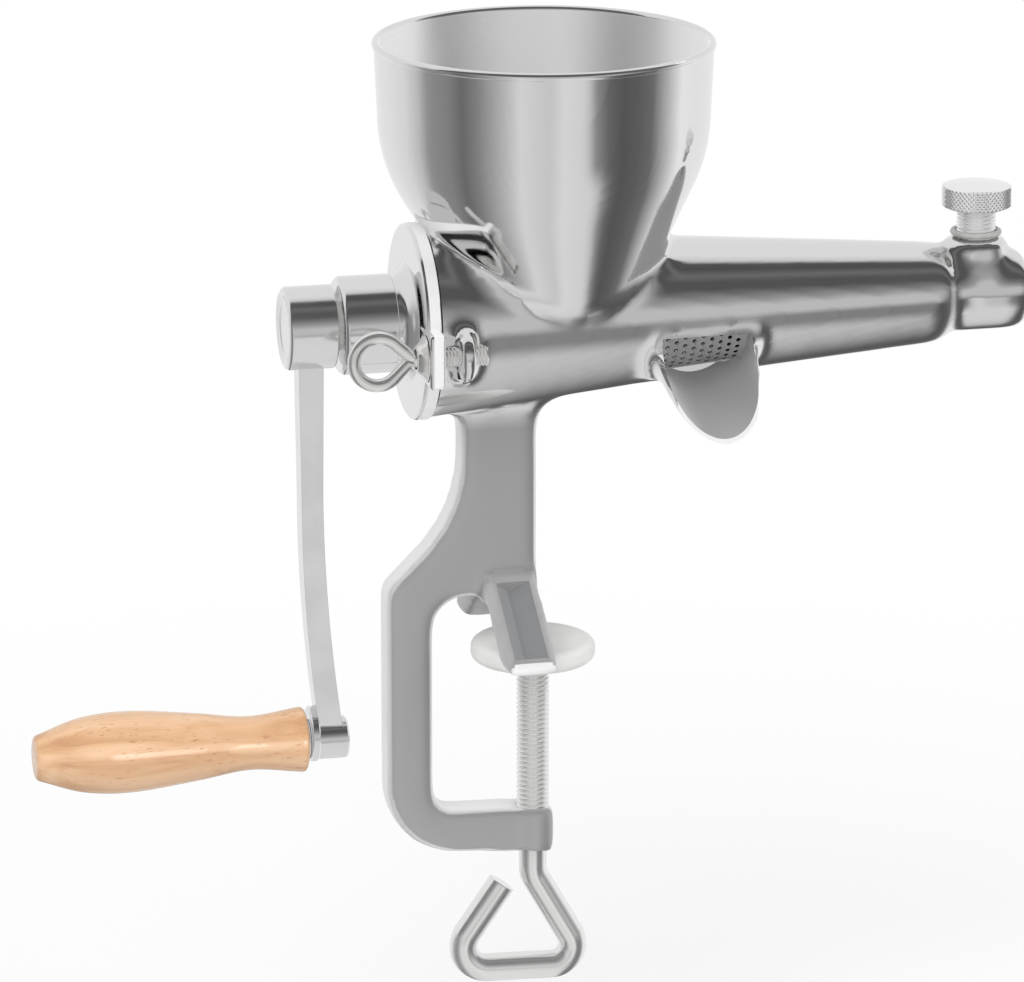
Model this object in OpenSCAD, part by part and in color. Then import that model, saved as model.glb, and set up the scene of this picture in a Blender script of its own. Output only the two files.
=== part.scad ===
// Hand-cranked juicer that clamps to a table edge. Millimetres, +Z up, +X towards the pulp outlet,
// -Y towards the person who catches the juice. The origin is on the clamp screw's axis, in the
// plane of the table top, where the foot rests and the closed pad meets it.

/* [Barrel] */
// Height of the barrel and crank axis above the table top
axis_z = 101.6; // [96:0.1:108]
// Barrel on the crank's side of the hopper's axis, as a share of the hopper's radius
barrel_left_share = 0.7452; // [0.74:0.0002:0.77]
// Length of the tapered barrel
barrel_len = 160; // [150:1:170]
// Outer radius at the end cap
barrel_left_r = 28.9; // [28.2:0.1:29.3]
// Outer radius under the hopper's far edge
barrel_mid_r = 22.6; // [22.2:0.1:23.4]
// Outer radius at the outlet shoulder
barrel_right_r = 15.2; // [14.8:0.1:16.2]
// Wall around the narrow end of the chamber
barrel_wall = 2.9; // [2.5:0.1:3.2]
// Wall around the wide end of the chamber
barrel_left_wall = 4.3; // [4:0.1:4.6]

/* [Hopper] */
// Hopper axis, from the clamp screw's axis
hopper_x = 3.2; // [1:0.1:6]
// Height of the hopper's rim above the barrel axis
hopper_rise = 84.1; // [80:0.1:92]
// Radius of the round bowl
hopper_r = 49.65; // [46:0.05:52]
// Height of the upright wall above the bowl
hopper_upright = 20.7; // [16:0.1:24]
// How far the upright wall leans out up to the rim
hopper_flare = 0.95; // [0.4:0.05:1.6]
// Half angle of the funnel under the bowl
funnel_angle = 29.5; // [28:0.5:31]
// Lean of the funnel towards the outlet
funnel_lean = 5; // [3:0.5:6]
// Wall of the hopper
hopper_wall = 2.2; // [1.8:0.1:2.8]
// Radius of the bead round the rim
bead_r = 1.25; // [1:0.05:1.6]

/* [Outlet] */
// Outer radius of the outlet end
outlet_r = 12.3; // [11.8:0.1:13]
// Length of the outlet end past the shoulder
outlet_len = 27; // [24:0.5:32]
// Radius of the pulp hole
outlet_bore_r = 8.2; // [7:0.1:9]
// Radius of the boss for the pressure screw
screw_boss_r = 9.6; // [9:0.1:10.4]
// Pressure screw's place past the barrel's shoulder
screw_boss_gap = 12; // [11:0.1:13]
// Top of the boss above the barrel axis
screw_boss_rise = 17.2; // [16:0.1:18]

/* [Spout] */
// Middle of the juice spout
spout_x = 48.4; // [45:0.1:52]
// Outer half width of the spout
spout_r = 15.8; // [14.8:0.1:16.6]
// Sheet thickness of the spout
spout_wall = 2.2; // [1.8:0.1:2.8]
// Height of the trough's centre line under the barrel axis
spout_drop = 5.5; // [4:0.1:7]
// Downward slope of the trough
spout_slope = 12; // [9:0.5:14]
// Slope of the cut that opens the trough
spout_cut_slope = 45; // [42:1:48]
// Reach of the lip in front of the barrel axis
spout_reach = 45; // [42:0.5:48]
// Top edge of the juice window under the barrel axis
window_drop = 4.4; // [3.6:0.1:6]

/* [Clamp frame] */
// Thickness of the frame, front to back
frame_t = 12.5; // [11:0.5:16]
// Left edge of the neck
neck_left_x = -23.4; // [-25:0.1:-22]
// Right edge of the neck
neck_right_x = 0.3; // [-1:0.1:1]
// Left edge of the spine
spine_left_x = -46.7; // [-48:0.1:-46]
// Width of the spine
spine_w = 14.7; // [13:0.1:16]
// Roof of the jaw opening above the table top
jaw_roof_z = 15.8; // [15:0.1:18]
// Depth from the table top to the lower arm
jaw_depth = 51.9; // [49:0.1:60]
// Height of the lower arm
arm_h = 13.8; // [12.5:0.1:16]
// End of the lower arm past the screw's axis
arm_end_x = 5.9; // [5.8:0.1:9]

/* [Foot] */
// Width of the foot along the barrel
foot_w = 16; // [14:0.5:17]
// Reach of each wing from the middle
foot_reach = 38.5; // [36:0.5:42]
// Length of the flat under each tip
foot_flat = 12.9; // [10:0.1:15]
// Edge thickness of a wing's tip
foot_tip_h = 3.5; // [3:0.1:4.5]
// Height of the foot's ridge
foot_ridge_z = 23; // [22:0.5:26]

/* [End cap] */
// Outer radius of the cap's flange
cap_r = 29.5; // [29.3:0.1:31]
// Thickness of the cap's flange
cap_t = 4.6; // [4:0.1:5.2]
// Outer radius of the bearing boss
boss_r = 14.75; // [13.8:0.05:15.5]
// Length of the bearing boss in front of the flange
boss_len = 21.2; // [20.9:0.1:22.3]
// Radius of the shaft's bearing
shaft_r = 7.5; // [6.8:0.1:8]
// Wall of the bearing bush
bush_wall = 2; // [1.5:0.1:2.5]

/* [Eye bolts] */
// Distance of each eye bolt from the middle
eye_y = 30; // [29.6:0.1:31]
// Drop of the eye bolts under the barrel axis
eye_drop = 3.8; // [3:0.1:5]
// Radius of the M6 thread
eye_thread_r = 3; // [2.8:0.1:3.2]
// Mean radius of the eye
eye_ring_r = 7.25; // [6.8:0.05:7.6]
// Radius of the eye's wire
eye_wire_r = 1.95; // [1.7:0.05:2.1]
// Distance from the cap's flange to the middle of the eye
eye_reach = 14.9; // [14.1:0.1:17.1]
// Length of the bolt past the body's face
eye_tip_len = 12.8; // [10.3:0.1:13.8]

/* [Auger] */
// Turns of the screw flight
auger_turns = 5; // [3:0.5:6]
// Core radius at the hopper end
auger_core_r = 9; // [8.6:0.1:11]
// Core radius at the outlet end
auger_tip_r = 6.8; // [6:0.1:7.4]
// Gap between the flight and what it turns in
auger_gap = 0.55; // [0.4:0.05:0.8]
// Thickness of the strainer's sheet
strainer_t = 0.8; // [0.6:0.05:1]
// Side of the square drive end
tang_side = 9; // [8:0.1:10]

/* [Crank] */
// Radius of the crank's hub
hub_r = 12.5; // [11.5:0.1:13.5]
// Length of the hub
hub_len = 14.8; // [14:0.1:16.4]
// Gap between the hub and the bearing boss
hub_gap = 1.5; // [1:0.1:2]
// Crank radius, from the barrel axis to the handle axis
crank_r = 128.7; // [120:0.5:135]
// Width of the arm at the hub, along the barrel
arm_top_w = 7.6; // [7:0.1:8.6]
// Width of the arm half way down
arm_mid_w = 6.6; // [6:0.1:7.6]
// Depth of the arm, front to back
arm_d = 8; // [7:0.1:9]
// Radius of the boss that holds the spindle
pin_boss_r = 6.4; // [6:0.1:7.5]
// Reach of that boss past the hub's middle plane, towards the handle
pin_boss_reach = 1.35; // [0.75:0.05:2.35]
// Length of that boss
pin_boss_len = 11.8; // [11:0.1:13]

/* [Handle] */
// Length of the turned wooden grip
grip_len = 82.7; // [78:0.1:90]
// Radius of the grip where it is fullest
grip_full_r = 12.3; // [11.5:0.1:13]
// Radius of the grip at its waist
grip_waist_r = 8.15; // [8:0.05:9]
// Radius of the grip at the crank end
grip_mouth_r = 9.9; // [9.5:0.1:10.6]
// Radius of the grip at the free end
grip_end_r = 7; // [6.5:0.1:8]
// Radius of the steel spindle
spindle_r = 3; // [2.6:0.1:3.4]

/* [Pressure screw] */
// Radius of the M12 thread
press_thread_r = 6; // [5.6:0.1:6.4]
// Radius of the knurled head
knob_r = 10.6; // [10:0.1:11.4]
// Height of the knurled head
knob_h = 7.5; // [6.5:0.1:9]
// Thread that shows between the boss and the head
press_standoff = 8.8; // [8.4:0.1:12]

/* [Clamp screw] */
// Radius of the M10 thread
clamp_thread_r = 5; // [4.6:0.1:5.2]
// Radius of the plain rod below the thread
rod_r = 4.25; // [4:0.05:4.5]
// Outer radius of the pad
pad_r = 19; // [17:0.5:21]
// Height of the pad
pad_h = 6.4; // [6:0.1:8]
// Lowest point of the handle's centre line below the table top
handle_low_z = -106.4; // [-112:0.2:-104]

/* [Clearances] */
// Radial clearance of every running fit
run_gap = 0.05; // [0.02:0.01:0.1]
// Play between faces that turn against each other
face_gap = 0.1; // [0.05:0.05:0.15]

/* [Hidden] */
$fn = 72;
eps = 0.01;
STEEL = [0.78, 0.78, 0.79];
WOOD = [0.87, 0.68, 0.44];
RUBBER = [0.12, 0.12, 0.12];
BRONZE = [0.72, 0.58, 0.32];
PALE = [0.9, 0.9, 0.89];

// Places along the barrel
barrel_left_x = hopper_x - barrel_left_share * hopper_r;
shoulder_x = barrel_left_x + barrel_len;
hopper_edge_share = 0.5438;
hopper_edge_x = hopper_x + hopper_edge_share * hopper_r;
shoulder_len = 4;
outlet_end_x = shoulder_x + outlet_len;
outlet_edge = 2;
screw_x = shoulder_x + screw_boss_gap;
seat_depth = 4;
seat_r = barrel_left_r - 3.4;
chamber_left_x = barrel_left_x + seat_depth;
chamber_left_r = barrel_left_r - barrel_left_wall;
chamber_right_x = shoulder_x - 8.2;
chamber_right_r = barrel_right_r - barrel_wall;

// Outer radius of the barrel under the hopper, and radius of the chamber, at a place along it
function barrel_r(x) = barrel_left_r + (barrel_mid_r - barrel_left_r)
    * (x - barrel_left_x) / (hopper_edge_x - barrel_left_x);
function chamber_r(x) = chamber_left_r + (chamber_right_r - chamber_left_r)
    * (x - chamber_left_x) / (chamber_right_x - chamber_left_x);

// Hopper
rim_z = axis_z + hopper_rise;
bowl_z = rim_z - bead_r - hopper_upright;
rim_r = hopper_r + hopper_flare;
bead_proud = 0.5;
funnel_inset = 0.15;
funnel_depth = (bowl_z - axis_z) / cos(funnel_lean);

// Spout
trough_z = axis_z - spout_drop;
window_z = axis_z - window_drop;
lip_z = trough_z - spout_reach * tan(spout_slope) - spout_r / cos(spout_slope) + spout_wall / 4;
trough_rise = spout_drop + 8;

// Clamp frame
spine_right_x = spine_left_x + spine_w;
bend_r = 42;
outer_r = 22.5;
inner_r = 7;
roof_r = 10;
neck_fillet = 9.5;
arm_top_slope = 1.3;
arm_under_slope = 4.5;
screw_boss = clamp_thread_r + 3;
bend_z = jaw_roof_z + 44.2;
under_x = spine_left_x + outer_r - outer_r * sin(arm_under_slope);
under_z = -jaw_depth - arm_h + outer_r * (1 - cos(arm_under_slope));
function arm_floor(x) = -jaw_depth - (x - spine_right_x - inner_r) * tan(arm_top_slope);
function arm_under(x) = under_z - (x - under_x) * tan(arm_under_slope);

// Foot
foot_right_x = neck_right_x - 0.9;
foot_left_x = foot_right_x - foot_w;
foot_under_z = 12.5;
foot_rib = 8;
pocket_rim = 2.8;
pocket_depth = 2.2;

// End cap, from the body's face outwards
gasket_t = 0.5;
cap_right_x = barrel_left_x - gasket_t;
cap_left_x = cap_right_x - cap_t;
boss_left_x = cap_left_x - boss_len;
cap_edge = 1.2;
spigot_end_x = chamber_left_x - 0.4;
root_len = 3.6;
root_r = boss_r + 3.2;
groove_len = 1.4;
groove_depth = 0.9;
boss_edge = 1.4;
bush_r = shaft_r + bush_wall;
bush_left_x = boss_left_x + 1.5;
seal_t = 1.3;
seal_r = shaft_r + run_gap + seal_t;
seal_x = spigot_end_x - seal_t - 0.2;
seal_pocket_x = seal_x - seal_t - 0.2;

// Eye bolts, held by lugs on the body
eye_x = cap_left_x - eye_reach;
eye_tip_x = barrel_left_x + eye_tip_len;
eye_z = axis_z - eye_drop;
eye_hole_gap = 0.3;
gasket_r = eye_y - eye_thread_r - eye_hole_gap;
ear_left_x = cap_left_x - 0.5;
ear_half_h = 8.3;
ear_top_r = 6;
ear_root_y = cap_r - 9;
lug_left_x = barrel_left_x + 3.6;
lug_t = 5.4;
lug_r = 8.3;
collar_left_r = 3.9;
collar_right_r = 7;
collar_t = 3;
collar_left_x = ear_left_x - face_gap - collar_t;

// Auger and its drive end
washer_t = 1;
washer_r = shaft_r + 6.5;
washer_x = spigot_end_x + face_gap;
auger_left_x = washer_x + washer_t + face_gap;
auger_disc_t = 3;
flight_left_x = auger_left_x + auger_disc_t - 0.5;
flight_right_x = chamber_right_x - 3;
auger_skin = strainer_t + run_gap + auger_gap;
flight_left_r = chamber_r(flight_left_x) - auger_skin;
flight_right_r = chamber_r(flight_right_x) - auger_skin;
flight_arc = 15;
flight_root = 0.24;
flight_slices = 14;
hub_right_x = boss_left_x - hub_gap;
hub_left_x = hub_right_x - hub_len;
shaft_left_x = hub_right_x + 0.6;
socket_left_x = hub_left_x + 3;
socket_side = tang_side + 2 * face_gap;

// Strainer
strainer_left_x = hopper_edge_x + 2;
strainer_right_x = chamber_right_x - 0.2;
hole_pitch = 2.8;
hole_r = 0.7;
hole_columns = 9;
hole_rows = 6;

// Crank
hub_edge = 1.2;
crank_x = hub_left_x + 7.75;
pin_boss_left_x = crank_x - pin_boss_reach;
crank_z = axis_z - crank_r;
arm_top_z = axis_z - 8;
arm_bend_z = axis_z - 0.4 * crank_r;
arm_foot_z = crank_z + 2;
arm_low_w = arm_top_w - 0.4;
arm_edge = 1.4;
arm_steps = 9;
arm_sweep = pin_boss_left_x + pin_boss_len / 2 + 1.1 - crank_x;
flare_r = pin_boss_r + 2;
flare_len = 2.5;
flare_rise = 1.6;
screw_r = 2.9;
screw_len = hub_r - tang_side / 2 - 1;
screw_hex = 3;

// Handle
grip_washer_t = 0.8;
grip_washer_r = spindle_r + 3;
grip_washer_x = pin_boss_left_x - face_gap - grip_washer_t;
grip_right_x = grip_washer_x - face_gap;
bush_len = 22;
bush_out_r = spindle_r + 2;
collar_len = 2.5;
collar_r = bush_out_r - 0.5;
grip_bore_len = bush_len + collar_len + 2;
spindle_depth = 9;

// Pressure screw
boss_top_z = axis_z + screw_boss_rise;
press_seal_r = 0.9;
knob_z = boss_top_z + press_standoff;
knob_edge = 0.9;
knob_dome = 1.6;
press_tip_z = axis_z + outlet_bore_r + 0.4;

// Clamp screw and pad
cover_roof = 2.4;
cover_edge = 2.6;
disc_t = 3.3;
disc_r = pad_r - 5;
button_r = 4.6;
button_t = 1;
button_play = 0.2;
tip_r = 3;
tip_top_z = -cover_roof - button_play;
thread_top_z = -pad_h - 1.6;
thread_low_z = arm_under(0) + 1;
handle_neck_z = arm_under(0) - 7.8;
handle_path = [
    [0, thread_low_z + 1], [0, handle_neck_z], [17.5, handle_low_z],
    [-28.5, handle_low_z + 1.3], [-9.7, handle_neck_z - 2.6]
];
handle_bends = [0, 8, 6.5, 7.5, 0];
bend_lap = 0.3;
bend_step = 0.02;

// Points of an arc in a plane, from one angle to another
function arc(cx, cy, r, from, to, n) =
    [for (i = [0 : n]) let (a = from + (to - from) * i / n) [cx + r * cos(a), cy + r * sin(a)]];

// Solids turned on an upright axis or on the barrel's. A point gives a place and a radius.
module turned_z(points) {
    rotate_extrude() polygon([for (p = points) [p[1], p[0]]]);
}

module turned_x(points) {
    rotate([0, 90, 0]) turned_z(points);
}

// Round bar along the barrel between two places
module bar_x(x1, x2, r) {
    translate([x1, 0, 0]) rotate([0, 90, 0]) cylinder(h = x2 - x1, r = r);
}

// Ring of round section on an upright axis
module ring_z(r, section_r) {
    rotate_extrude() translate([r, 0]) circle(r = section_r, $fn = 32);
}

// Two copies, one on each side of the barrel's middle plane
module both_sides() {
    for (side = [0, 1]) mirror([0, side, 0]) children();
}

// Round rod along a bent path in the plane of the barrel and the clamp screw
function unit(v) = v / norm(v);
function turn_at(p, i) = acos(unit(p[i] - p[i - 1]) * unit(p[i + 1] - p[i]));
function trim_at(p, bends, i) =
    i == 0 || i == len(p) - 1 ? 0 : bends[i] * tan(turn_at(p, i) / 2) - bend_lap;

module rod_between(a, b, r) {
    d = b - a;
    translate([a[0], 0, a[1]]) rotate([0, 90 - atan2(d[1], d[0]), 0]) cylinder(h = norm(d), r = r);
}

module rod_bend(p, bends, i, r) {
    along = unit(p[i] - p[i - 1]);
    next = unit(p[i + 1] - p[i]);
    side = along[0] * next[1] - along[1] * next[0] > 0 ? 1 : -1;
    start = p[i] - along * bends[i] * tan(turn_at(p, i) / 2);
    middle = start + side * bends[i] * [-along[1], along[0]];
    first = atan2(start[1] - middle[1], start[0] - middle[0]) - (side > 0 ? 0 : turn_at(p, i));
    translate([middle[0], 0, middle[1]]) rotate([90, 0, 0]) rotate([0, 0, first])
        rotate_extrude(angle = turn_at(p, i)) translate([bends[i], 0]) circle(r = r, $fn = 32);
}

module bent_rod(p, bends, r) {
    for (i = [0 : len(p) - 2]) {
        d = unit(p[i + 1] - p[i]);
        rod_between(p[i] + d * trim_at(p, bends, i), p[i + 1] - d * trim_at(p, bends, i + 1),
            r - bend_step);
    }
    for (i = [1 : len(p) - 2]) rod_bend(p, bends, i, r);
}

// Body: hopper, barrel, outlet, spout, clamp frame and foot in one casting
module body_casting() color(STEEL) difference() {
    union() {
        hopper_form(hopper_r, funnel_depth);
        translate([hopper_x, 0, rim_z - bead_r]) ring_z(rim_r - bead_r + bead_proud, bead_r);
        barrel_form();
        spout_form();
        clamp_frame();
        both_sides() foot_wing();
        both_sides() lug();
    }
    hopper_hollow();
    barrel_hollow();
    juice_window();
    both_sides() translate([0, eye_y, eye_z])
        bar_x(barrel_left_x - 1, eye_tip_x + 1, eye_thread_r + run_gap);
    translate([0, 0, arm_under(0) - 1])
        cylinder(h = arm_floor(0) - arm_under(0) + 2, r = clamp_thread_r + run_gap);
}

// Round bowl with a slightly flared upright wall, over a leaning funnel. The funnel lies a little
// inside the cone that would only touch the bowl, so that the two surfaces cross.
module hopper_form(r, depth) {
    touch_z = -r * sin(funnel_angle);
    translate([hopper_x, 0, bowl_z]) {
        sphere(r = r);
        cylinder(h = hopper_upright, r1 = r, r2 = r + hopper_flare);
        rotate([0, -funnel_lean, 0]) translate([0, 0, -depth])
            cylinder(h = depth + touch_z,
                r1 = r / cos(funnel_angle) - depth * tan(funnel_angle) - funnel_inset,
                r2 = r * cos(funnel_angle) - funnel_inset);
    }
}

module hopper_hollow() {
    inner = hopper_r - hopper_wall;
    hopper_form(inner, funnel_depth + 1);
    translate([hopper_x, 0, bowl_z + hopper_upright - eps])
        cylinder(h = hopper_r, r = inner + hopper_flare);
}

module barrel_form() {
    translate([0, 0, axis_z]) turned_x([
        [barrel_left_x, 0], [barrel_left_x, barrel_left_r], [hopper_edge_x, barrel_mid_r],
        [shoulder_x, barrel_right_r], [shoulder_x + shoulder_len, outlet_r],
        [outlet_end_x - outlet_edge, outlet_r], [outlet_end_x, outlet_r - outlet_edge],
        [outlet_end_x, 0]
    ]);
    translate([screw_x, 0, axis_z]) cylinder(h = screw_boss_rise, r = screw_boss_r);
}

module barrel_hollow() {
    translate([0, 0, axis_z]) turned_x([
        [barrel_left_x - 1, 0], [barrel_left_x - 1, seat_r], [chamber_left_x, seat_r],
        [chamber_left_x, chamber_left_r], [chamber_right_x, chamber_right_r],
        [chamber_right_x, outlet_bore_r], [outlet_end_x + 1, outlet_bore_r], [outlet_end_x + 1, 0]
    ]);
    translate([screw_x, 0, axis_z])
        cylinder(h = screw_boss_rise + 1, r = press_thread_r + run_gap);
}

// Trough outline, half round with upright sides, run forwards and down from the barrel
module trough(r) {
    translate([spout_x, 0, trough_z]) rotate([90 + spout_slope, 0, 0])
        linear_extrude(spout_reach + spout_r) {
            circle(r = r);
            translate([-r, 0]) square([2 * r, trough_rise]);
        }
}

module spout_form() {
    difference() {
        trough(spout_r);
        translate([spout_x, -spout_reach, lip_z]) rotate([spout_cut_slope, 0, 0])
            translate([-spout_r - 1, -spout_reach, 0])
                cube([2 * spout_r + 2, 3 * spout_reach, 2 * spout_reach]);
    }
}

// Opening through the barrel's wall, as wide as the inside of the trough
module juice_window() {
    intersection() {
        trough(spout_r - spout_wall);
        translate([0, -3 * spout_reach, 0])
            cube([2 * spout_x, 3 * spout_reach - spout_wall, window_z]);
    }
}

// Neck, swept spine and lower arm, as one outline seen from the front
module clamp_frame() {
    translate([0, frame_t / 2, 0]) rotate([90, 0, 0]) linear_extrude(frame_t) frame_outline();
    intersection() {
        translate([0, 0, arm_under(0)])
            cylinder(h = arm_floor(0) - arm_under(0), r = screw_boss);
        translate([-screw_boss - 1, -screw_boss - 1, arm_under(0) - 1])
            cube([screw_boss + 1 + arm_end_x, 2 * screw_boss + 2, arm_h + 4]);
    }
}

module frame_outline() {
    neck_top = axis_z - barrel_mid_r;
    fillet_x = neck_right_x + neck_fillet;
    fillet_z = axis_z - barrel_r(fillet_x) - neck_fillet;
    swept_x = neck_left_x - bend_r * (1 - cos(45));
    swept_z = bend_z - bend_r * sin(45);
    polygon(concat(
        [[neck_left_x, neck_top]],
        arc(neck_left_x - bend_r, bend_z, bend_r, 0, -45, 10),
        [[spine_left_x, swept_z - swept_x + spine_left_x]],
        arc(spine_left_x + outer_r, outer_r - jaw_depth - arm_h, outer_r, 180,
            270 - arm_under_slope, 12),
        [[arm_end_x, arm_under(arm_end_x)], [arm_end_x, arm_floor(arm_end_x)]],
        arc(spine_right_x + inner_r, inner_r - jaw_depth, inner_r, 270 - arm_top_slope, 180, 6),
        arc(spine_right_x + roof_r, jaw_roof_z - roof_r, roof_r, 180, 90, 8),
        [[foot_left_x, jaw_roof_z], [foot_left_x, foot_under_z], [neck_right_x, foot_under_z]],
        arc(fillet_x, fillet_z, neck_fillet, 180, 96, 8),
        [[fillet_x, neck_top]]
    ));
}

// One wing of the foot, sloping down from the frame, with a pocket in its top face
module foot_wing() {
    fall = foot_ridge_z - foot_tip_h;
    run = foot_reach - foot_rib;
    difference() {
        translate([foot_left_x, 0, 0]) rotate([90, 0, 90]) linear_extrude(foot_w) polygon([
            [0, foot_ridge_z], [foot_rib, foot_ridge_z], [foot_reach, foot_tip_h], [foot_reach, 0],
            [foot_reach - foot_flat, 0], [foot_rib, foot_under_z], [0, foot_under_z]
        ]);
        translate([foot_left_x, foot_rib, foot_ridge_z]) rotate([-atan2(fall, run), 0, 0])
            translate([pocket_rim, pocket_rim, -pocket_depth])
                cube([foot_w - 2 * pocket_rim, norm([fall, run]) - 2 * pocket_rim, foot_w]);
    }
}

// Lug beside the barrel that an eye bolt screws into
module lug() {
    translate([0, eye_y, eye_z]) bar_x(lug_left_x, lug_left_x + lug_t, lug_r);
    translate([lug_left_x, eye_y - lug_r, eye_z - lug_r]) cube([lug_t, lug_r, 2 * lug_r]);
}

// Strainer: a tapered sleeve with staggered holes over the juice window
module strainer_screen() color(STEEL) difference() {
    outer_left = chamber_r(strainer_left_x) - run_gap;
    outer_right = chamber_r(strainer_right_x) - run_gap;
    translate([0, 0, axis_z]) turned_x([
        [strainer_left_x, outer_left - strainer_t], [strainer_left_x, outer_left],
        [strainer_right_x, outer_right], [strainer_right_x, outer_right - strainer_t]
    ]);
    strainer_holes();
}

module strainer_holes() {
    middle_r = chamber_r(spout_x);
    step = hole_pitch / middle_r * 180 / PI;
    for (i = [0 : hole_columns - 1], j = [0 : hole_rows - 1]) {
        x = spout_x + (i - (hole_columns - 1) / 2) * hole_pitch;
        turn = (j + 0.9 + (i % 2) / 2) * step;
        translate([x, 0, axis_z]) rotate([90 + turn, 0, 0])
            cylinder(h = middle_r + 1, r = hole_r, $fn = 8);
    }
}

// End cap: flange, bearing boss, and the two ears for the eye bolts
module end_cap() color(STEEL) difference() {
    union() {
        translate([0, 0, axis_z]) turned_x([
            [boss_left_x, 0], [boss_left_x, boss_r - boss_edge], [boss_left_x + boss_edge, boss_r],
            [cap_left_x - root_len - groove_len, boss_r],
            [cap_left_x - root_len - groove_len, boss_r - groove_depth],
            [cap_left_x - root_len, boss_r - groove_depth], [cap_left_x, root_r],
            [cap_left_x, cap_r - cap_edge], [cap_left_x + cap_edge, cap_r], [cap_right_x, cap_r],
            [cap_right_x, seat_r - run_gap], [spigot_end_x, seat_r - run_gap], [spigot_end_x, 0]
        ]);
        both_sides() ear();
    }
    translate([0, 0, axis_z]) turned_x([
        [boss_left_x - 1, 0], [boss_left_x - 1, shaft_r + run_gap],
        [bush_left_x, shaft_r + run_gap], [bush_left_x, bush_r + run_gap],
        [seal_pocket_x, bush_r + run_gap], [seal_pocket_x, seal_r + seal_t + run_gap],
        [spigot_end_x + 1, seal_r + seal_t + run_gap], [spigot_end_x + 1, 0]
    ]);
    both_sides() translate([0, eye_y, eye_z])
        bar_x(ear_left_x - 1, cap_right_x + 1, eye_thread_r + eye_hole_gap);
}

module ear() {
    translate([ear_left_x, ear_root_y, eye_z - ear_half_h])
        cube([cap_right_x - ear_left_x, eye_y + ear_top_r - ear_root_y, 2 * ear_half_h]);
}

module cap_gasket() color(RUBBER) translate([0, 0, axis_z]) turned_x([
    [cap_right_x, seat_r + run_gap], [cap_right_x, gasket_r],
    [barrel_left_x, gasket_r], [barrel_left_x, seat_r + run_gap]
]);

module bearing_bush() color(BRONZE) translate([0, 0, axis_z]) turned_x([
    [bush_left_x + face_gap, shaft_r + run_gap], [bush_left_x + face_gap, bush_r],
    [seal_pocket_x - face_gap, bush_r], [seal_pocket_x - face_gap, shaft_r + run_gap]
]);

module shaft_seal() color(RUBBER) translate([seal_x, 0, axis_z]) rotate([0, 90, 0])
    ring_z(seal_r, seal_t - run_gap);

// Eye bolt: wire bent into a ring on a threaded shank, and the dished collar that turns on it
module eye_bolt() color(STEEL) {
    bar_x(eye_x + eye_ring_r, collar_left_x, eye_wire_r);
    bar_x(collar_left_x - 0.5, eye_tip_x, eye_thread_r);
    translate([eye_x, 0, 0]) rotate([90, 0, 0]) ring_z(eye_ring_r, eye_wire_r);
}

module eye_collar() color(STEEL) turned_x([
    [collar_left_x, eye_thread_r + run_gap], [collar_left_x, collar_left_r],
    [collar_left_x + collar_t, collar_right_r], [collar_left_x + collar_t, eye_thread_r + run_gap]
]);

module front_eye_bolt() translate([0, -eye_y, eye_z]) eye_bolt();

module front_eye_collar() translate([0, -eye_y, eye_z]) eye_collar();

module rear_eye_bolt() translate([0, eye_y, eye_z]) eye_bolt();

module rear_eye_collar() translate([0, eye_y, eye_z]) eye_collar();

// Auger: tapered flight on a core, with its shaft and square drive end in one piece
module auger() color(STEEL) translate([0, 0, axis_z]) {
    turned_x([
        [shaft_left_x, 0], [shaft_left_x, shaft_r], [auger_left_x, shaft_r],
        [auger_left_x, flight_left_r], [auger_left_x + auger_disc_t, flight_left_r],
        [auger_left_x + auger_disc_t, auger_core_r], [flight_right_x + 1, auger_tip_r],
        [flight_right_x + 1, 0]
    ]);
    translate([socket_left_x + face_gap, -tang_side / 2, -tang_side / 2])
        cube([shaft_left_x - socket_left_x, tang_side, tang_side]);
    translate([flight_left_x, 0, 0]) rotate([0, 90, 0])
        linear_extrude(flight_right_x - flight_left_x, twist = -360 * auger_turns,
            scale = flight_right_r / flight_left_r, slices = ceil(auger_turns * flight_slices),
            $fn = flight_slices / 2)
            polygon(concat(arc(0, 0, flight_left_r, -flight_arc, flight_arc, 4),
                arc(0, 0, flight_left_r * flight_root, flight_arc, -flight_arc, 1)));
}

module thrust_washer() color(BRONZE) translate([0, 0, axis_z]) turned_x([
    [washer_x, shaft_r + run_gap], [washer_x, washer_r], [washer_x + washer_t, washer_r],
    [washer_x + washer_t, shaft_r + run_gap]
]);

// Crank: hub with a square socket, swept arm, and the boss that holds the spindle
module crank_arm() color(STEEL) difference() {
    union() {
        translate([0, 0, axis_z]) turned_x([
            [hub_left_x, 0], [hub_left_x, hub_r - hub_edge], [hub_left_x + hub_edge, hub_r],
            [hub_right_x, hub_r], [hub_right_x, 0]
        ]);
        arm();
        translate([0, 0, crank_z])
            bar_x(pin_boss_left_x, pin_boss_left_x + pin_boss_len, pin_boss_r);
        translate([0, 0, crank_z + flare_rise])
            bar_x(pin_boss_left_x, pin_boss_left_x + flare_len, flare_r);
    }
    translate([socket_left_x, -socket_side / 2, axis_z - socket_side / 2])
        cube([hub_right_x - socket_left_x + 1, socket_side, socket_side]);
    translate([crank_x, 0, axis_z]) rotate([-90, 0, 0])
        cylinder(h = hub_r + 1, r = screw_r + run_gap);
    translate([0, 0, crank_z])
        bar_x(pin_boss_left_x - 1, pin_boss_left_x + spindle_depth, spindle_r + run_gap);
}

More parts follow.
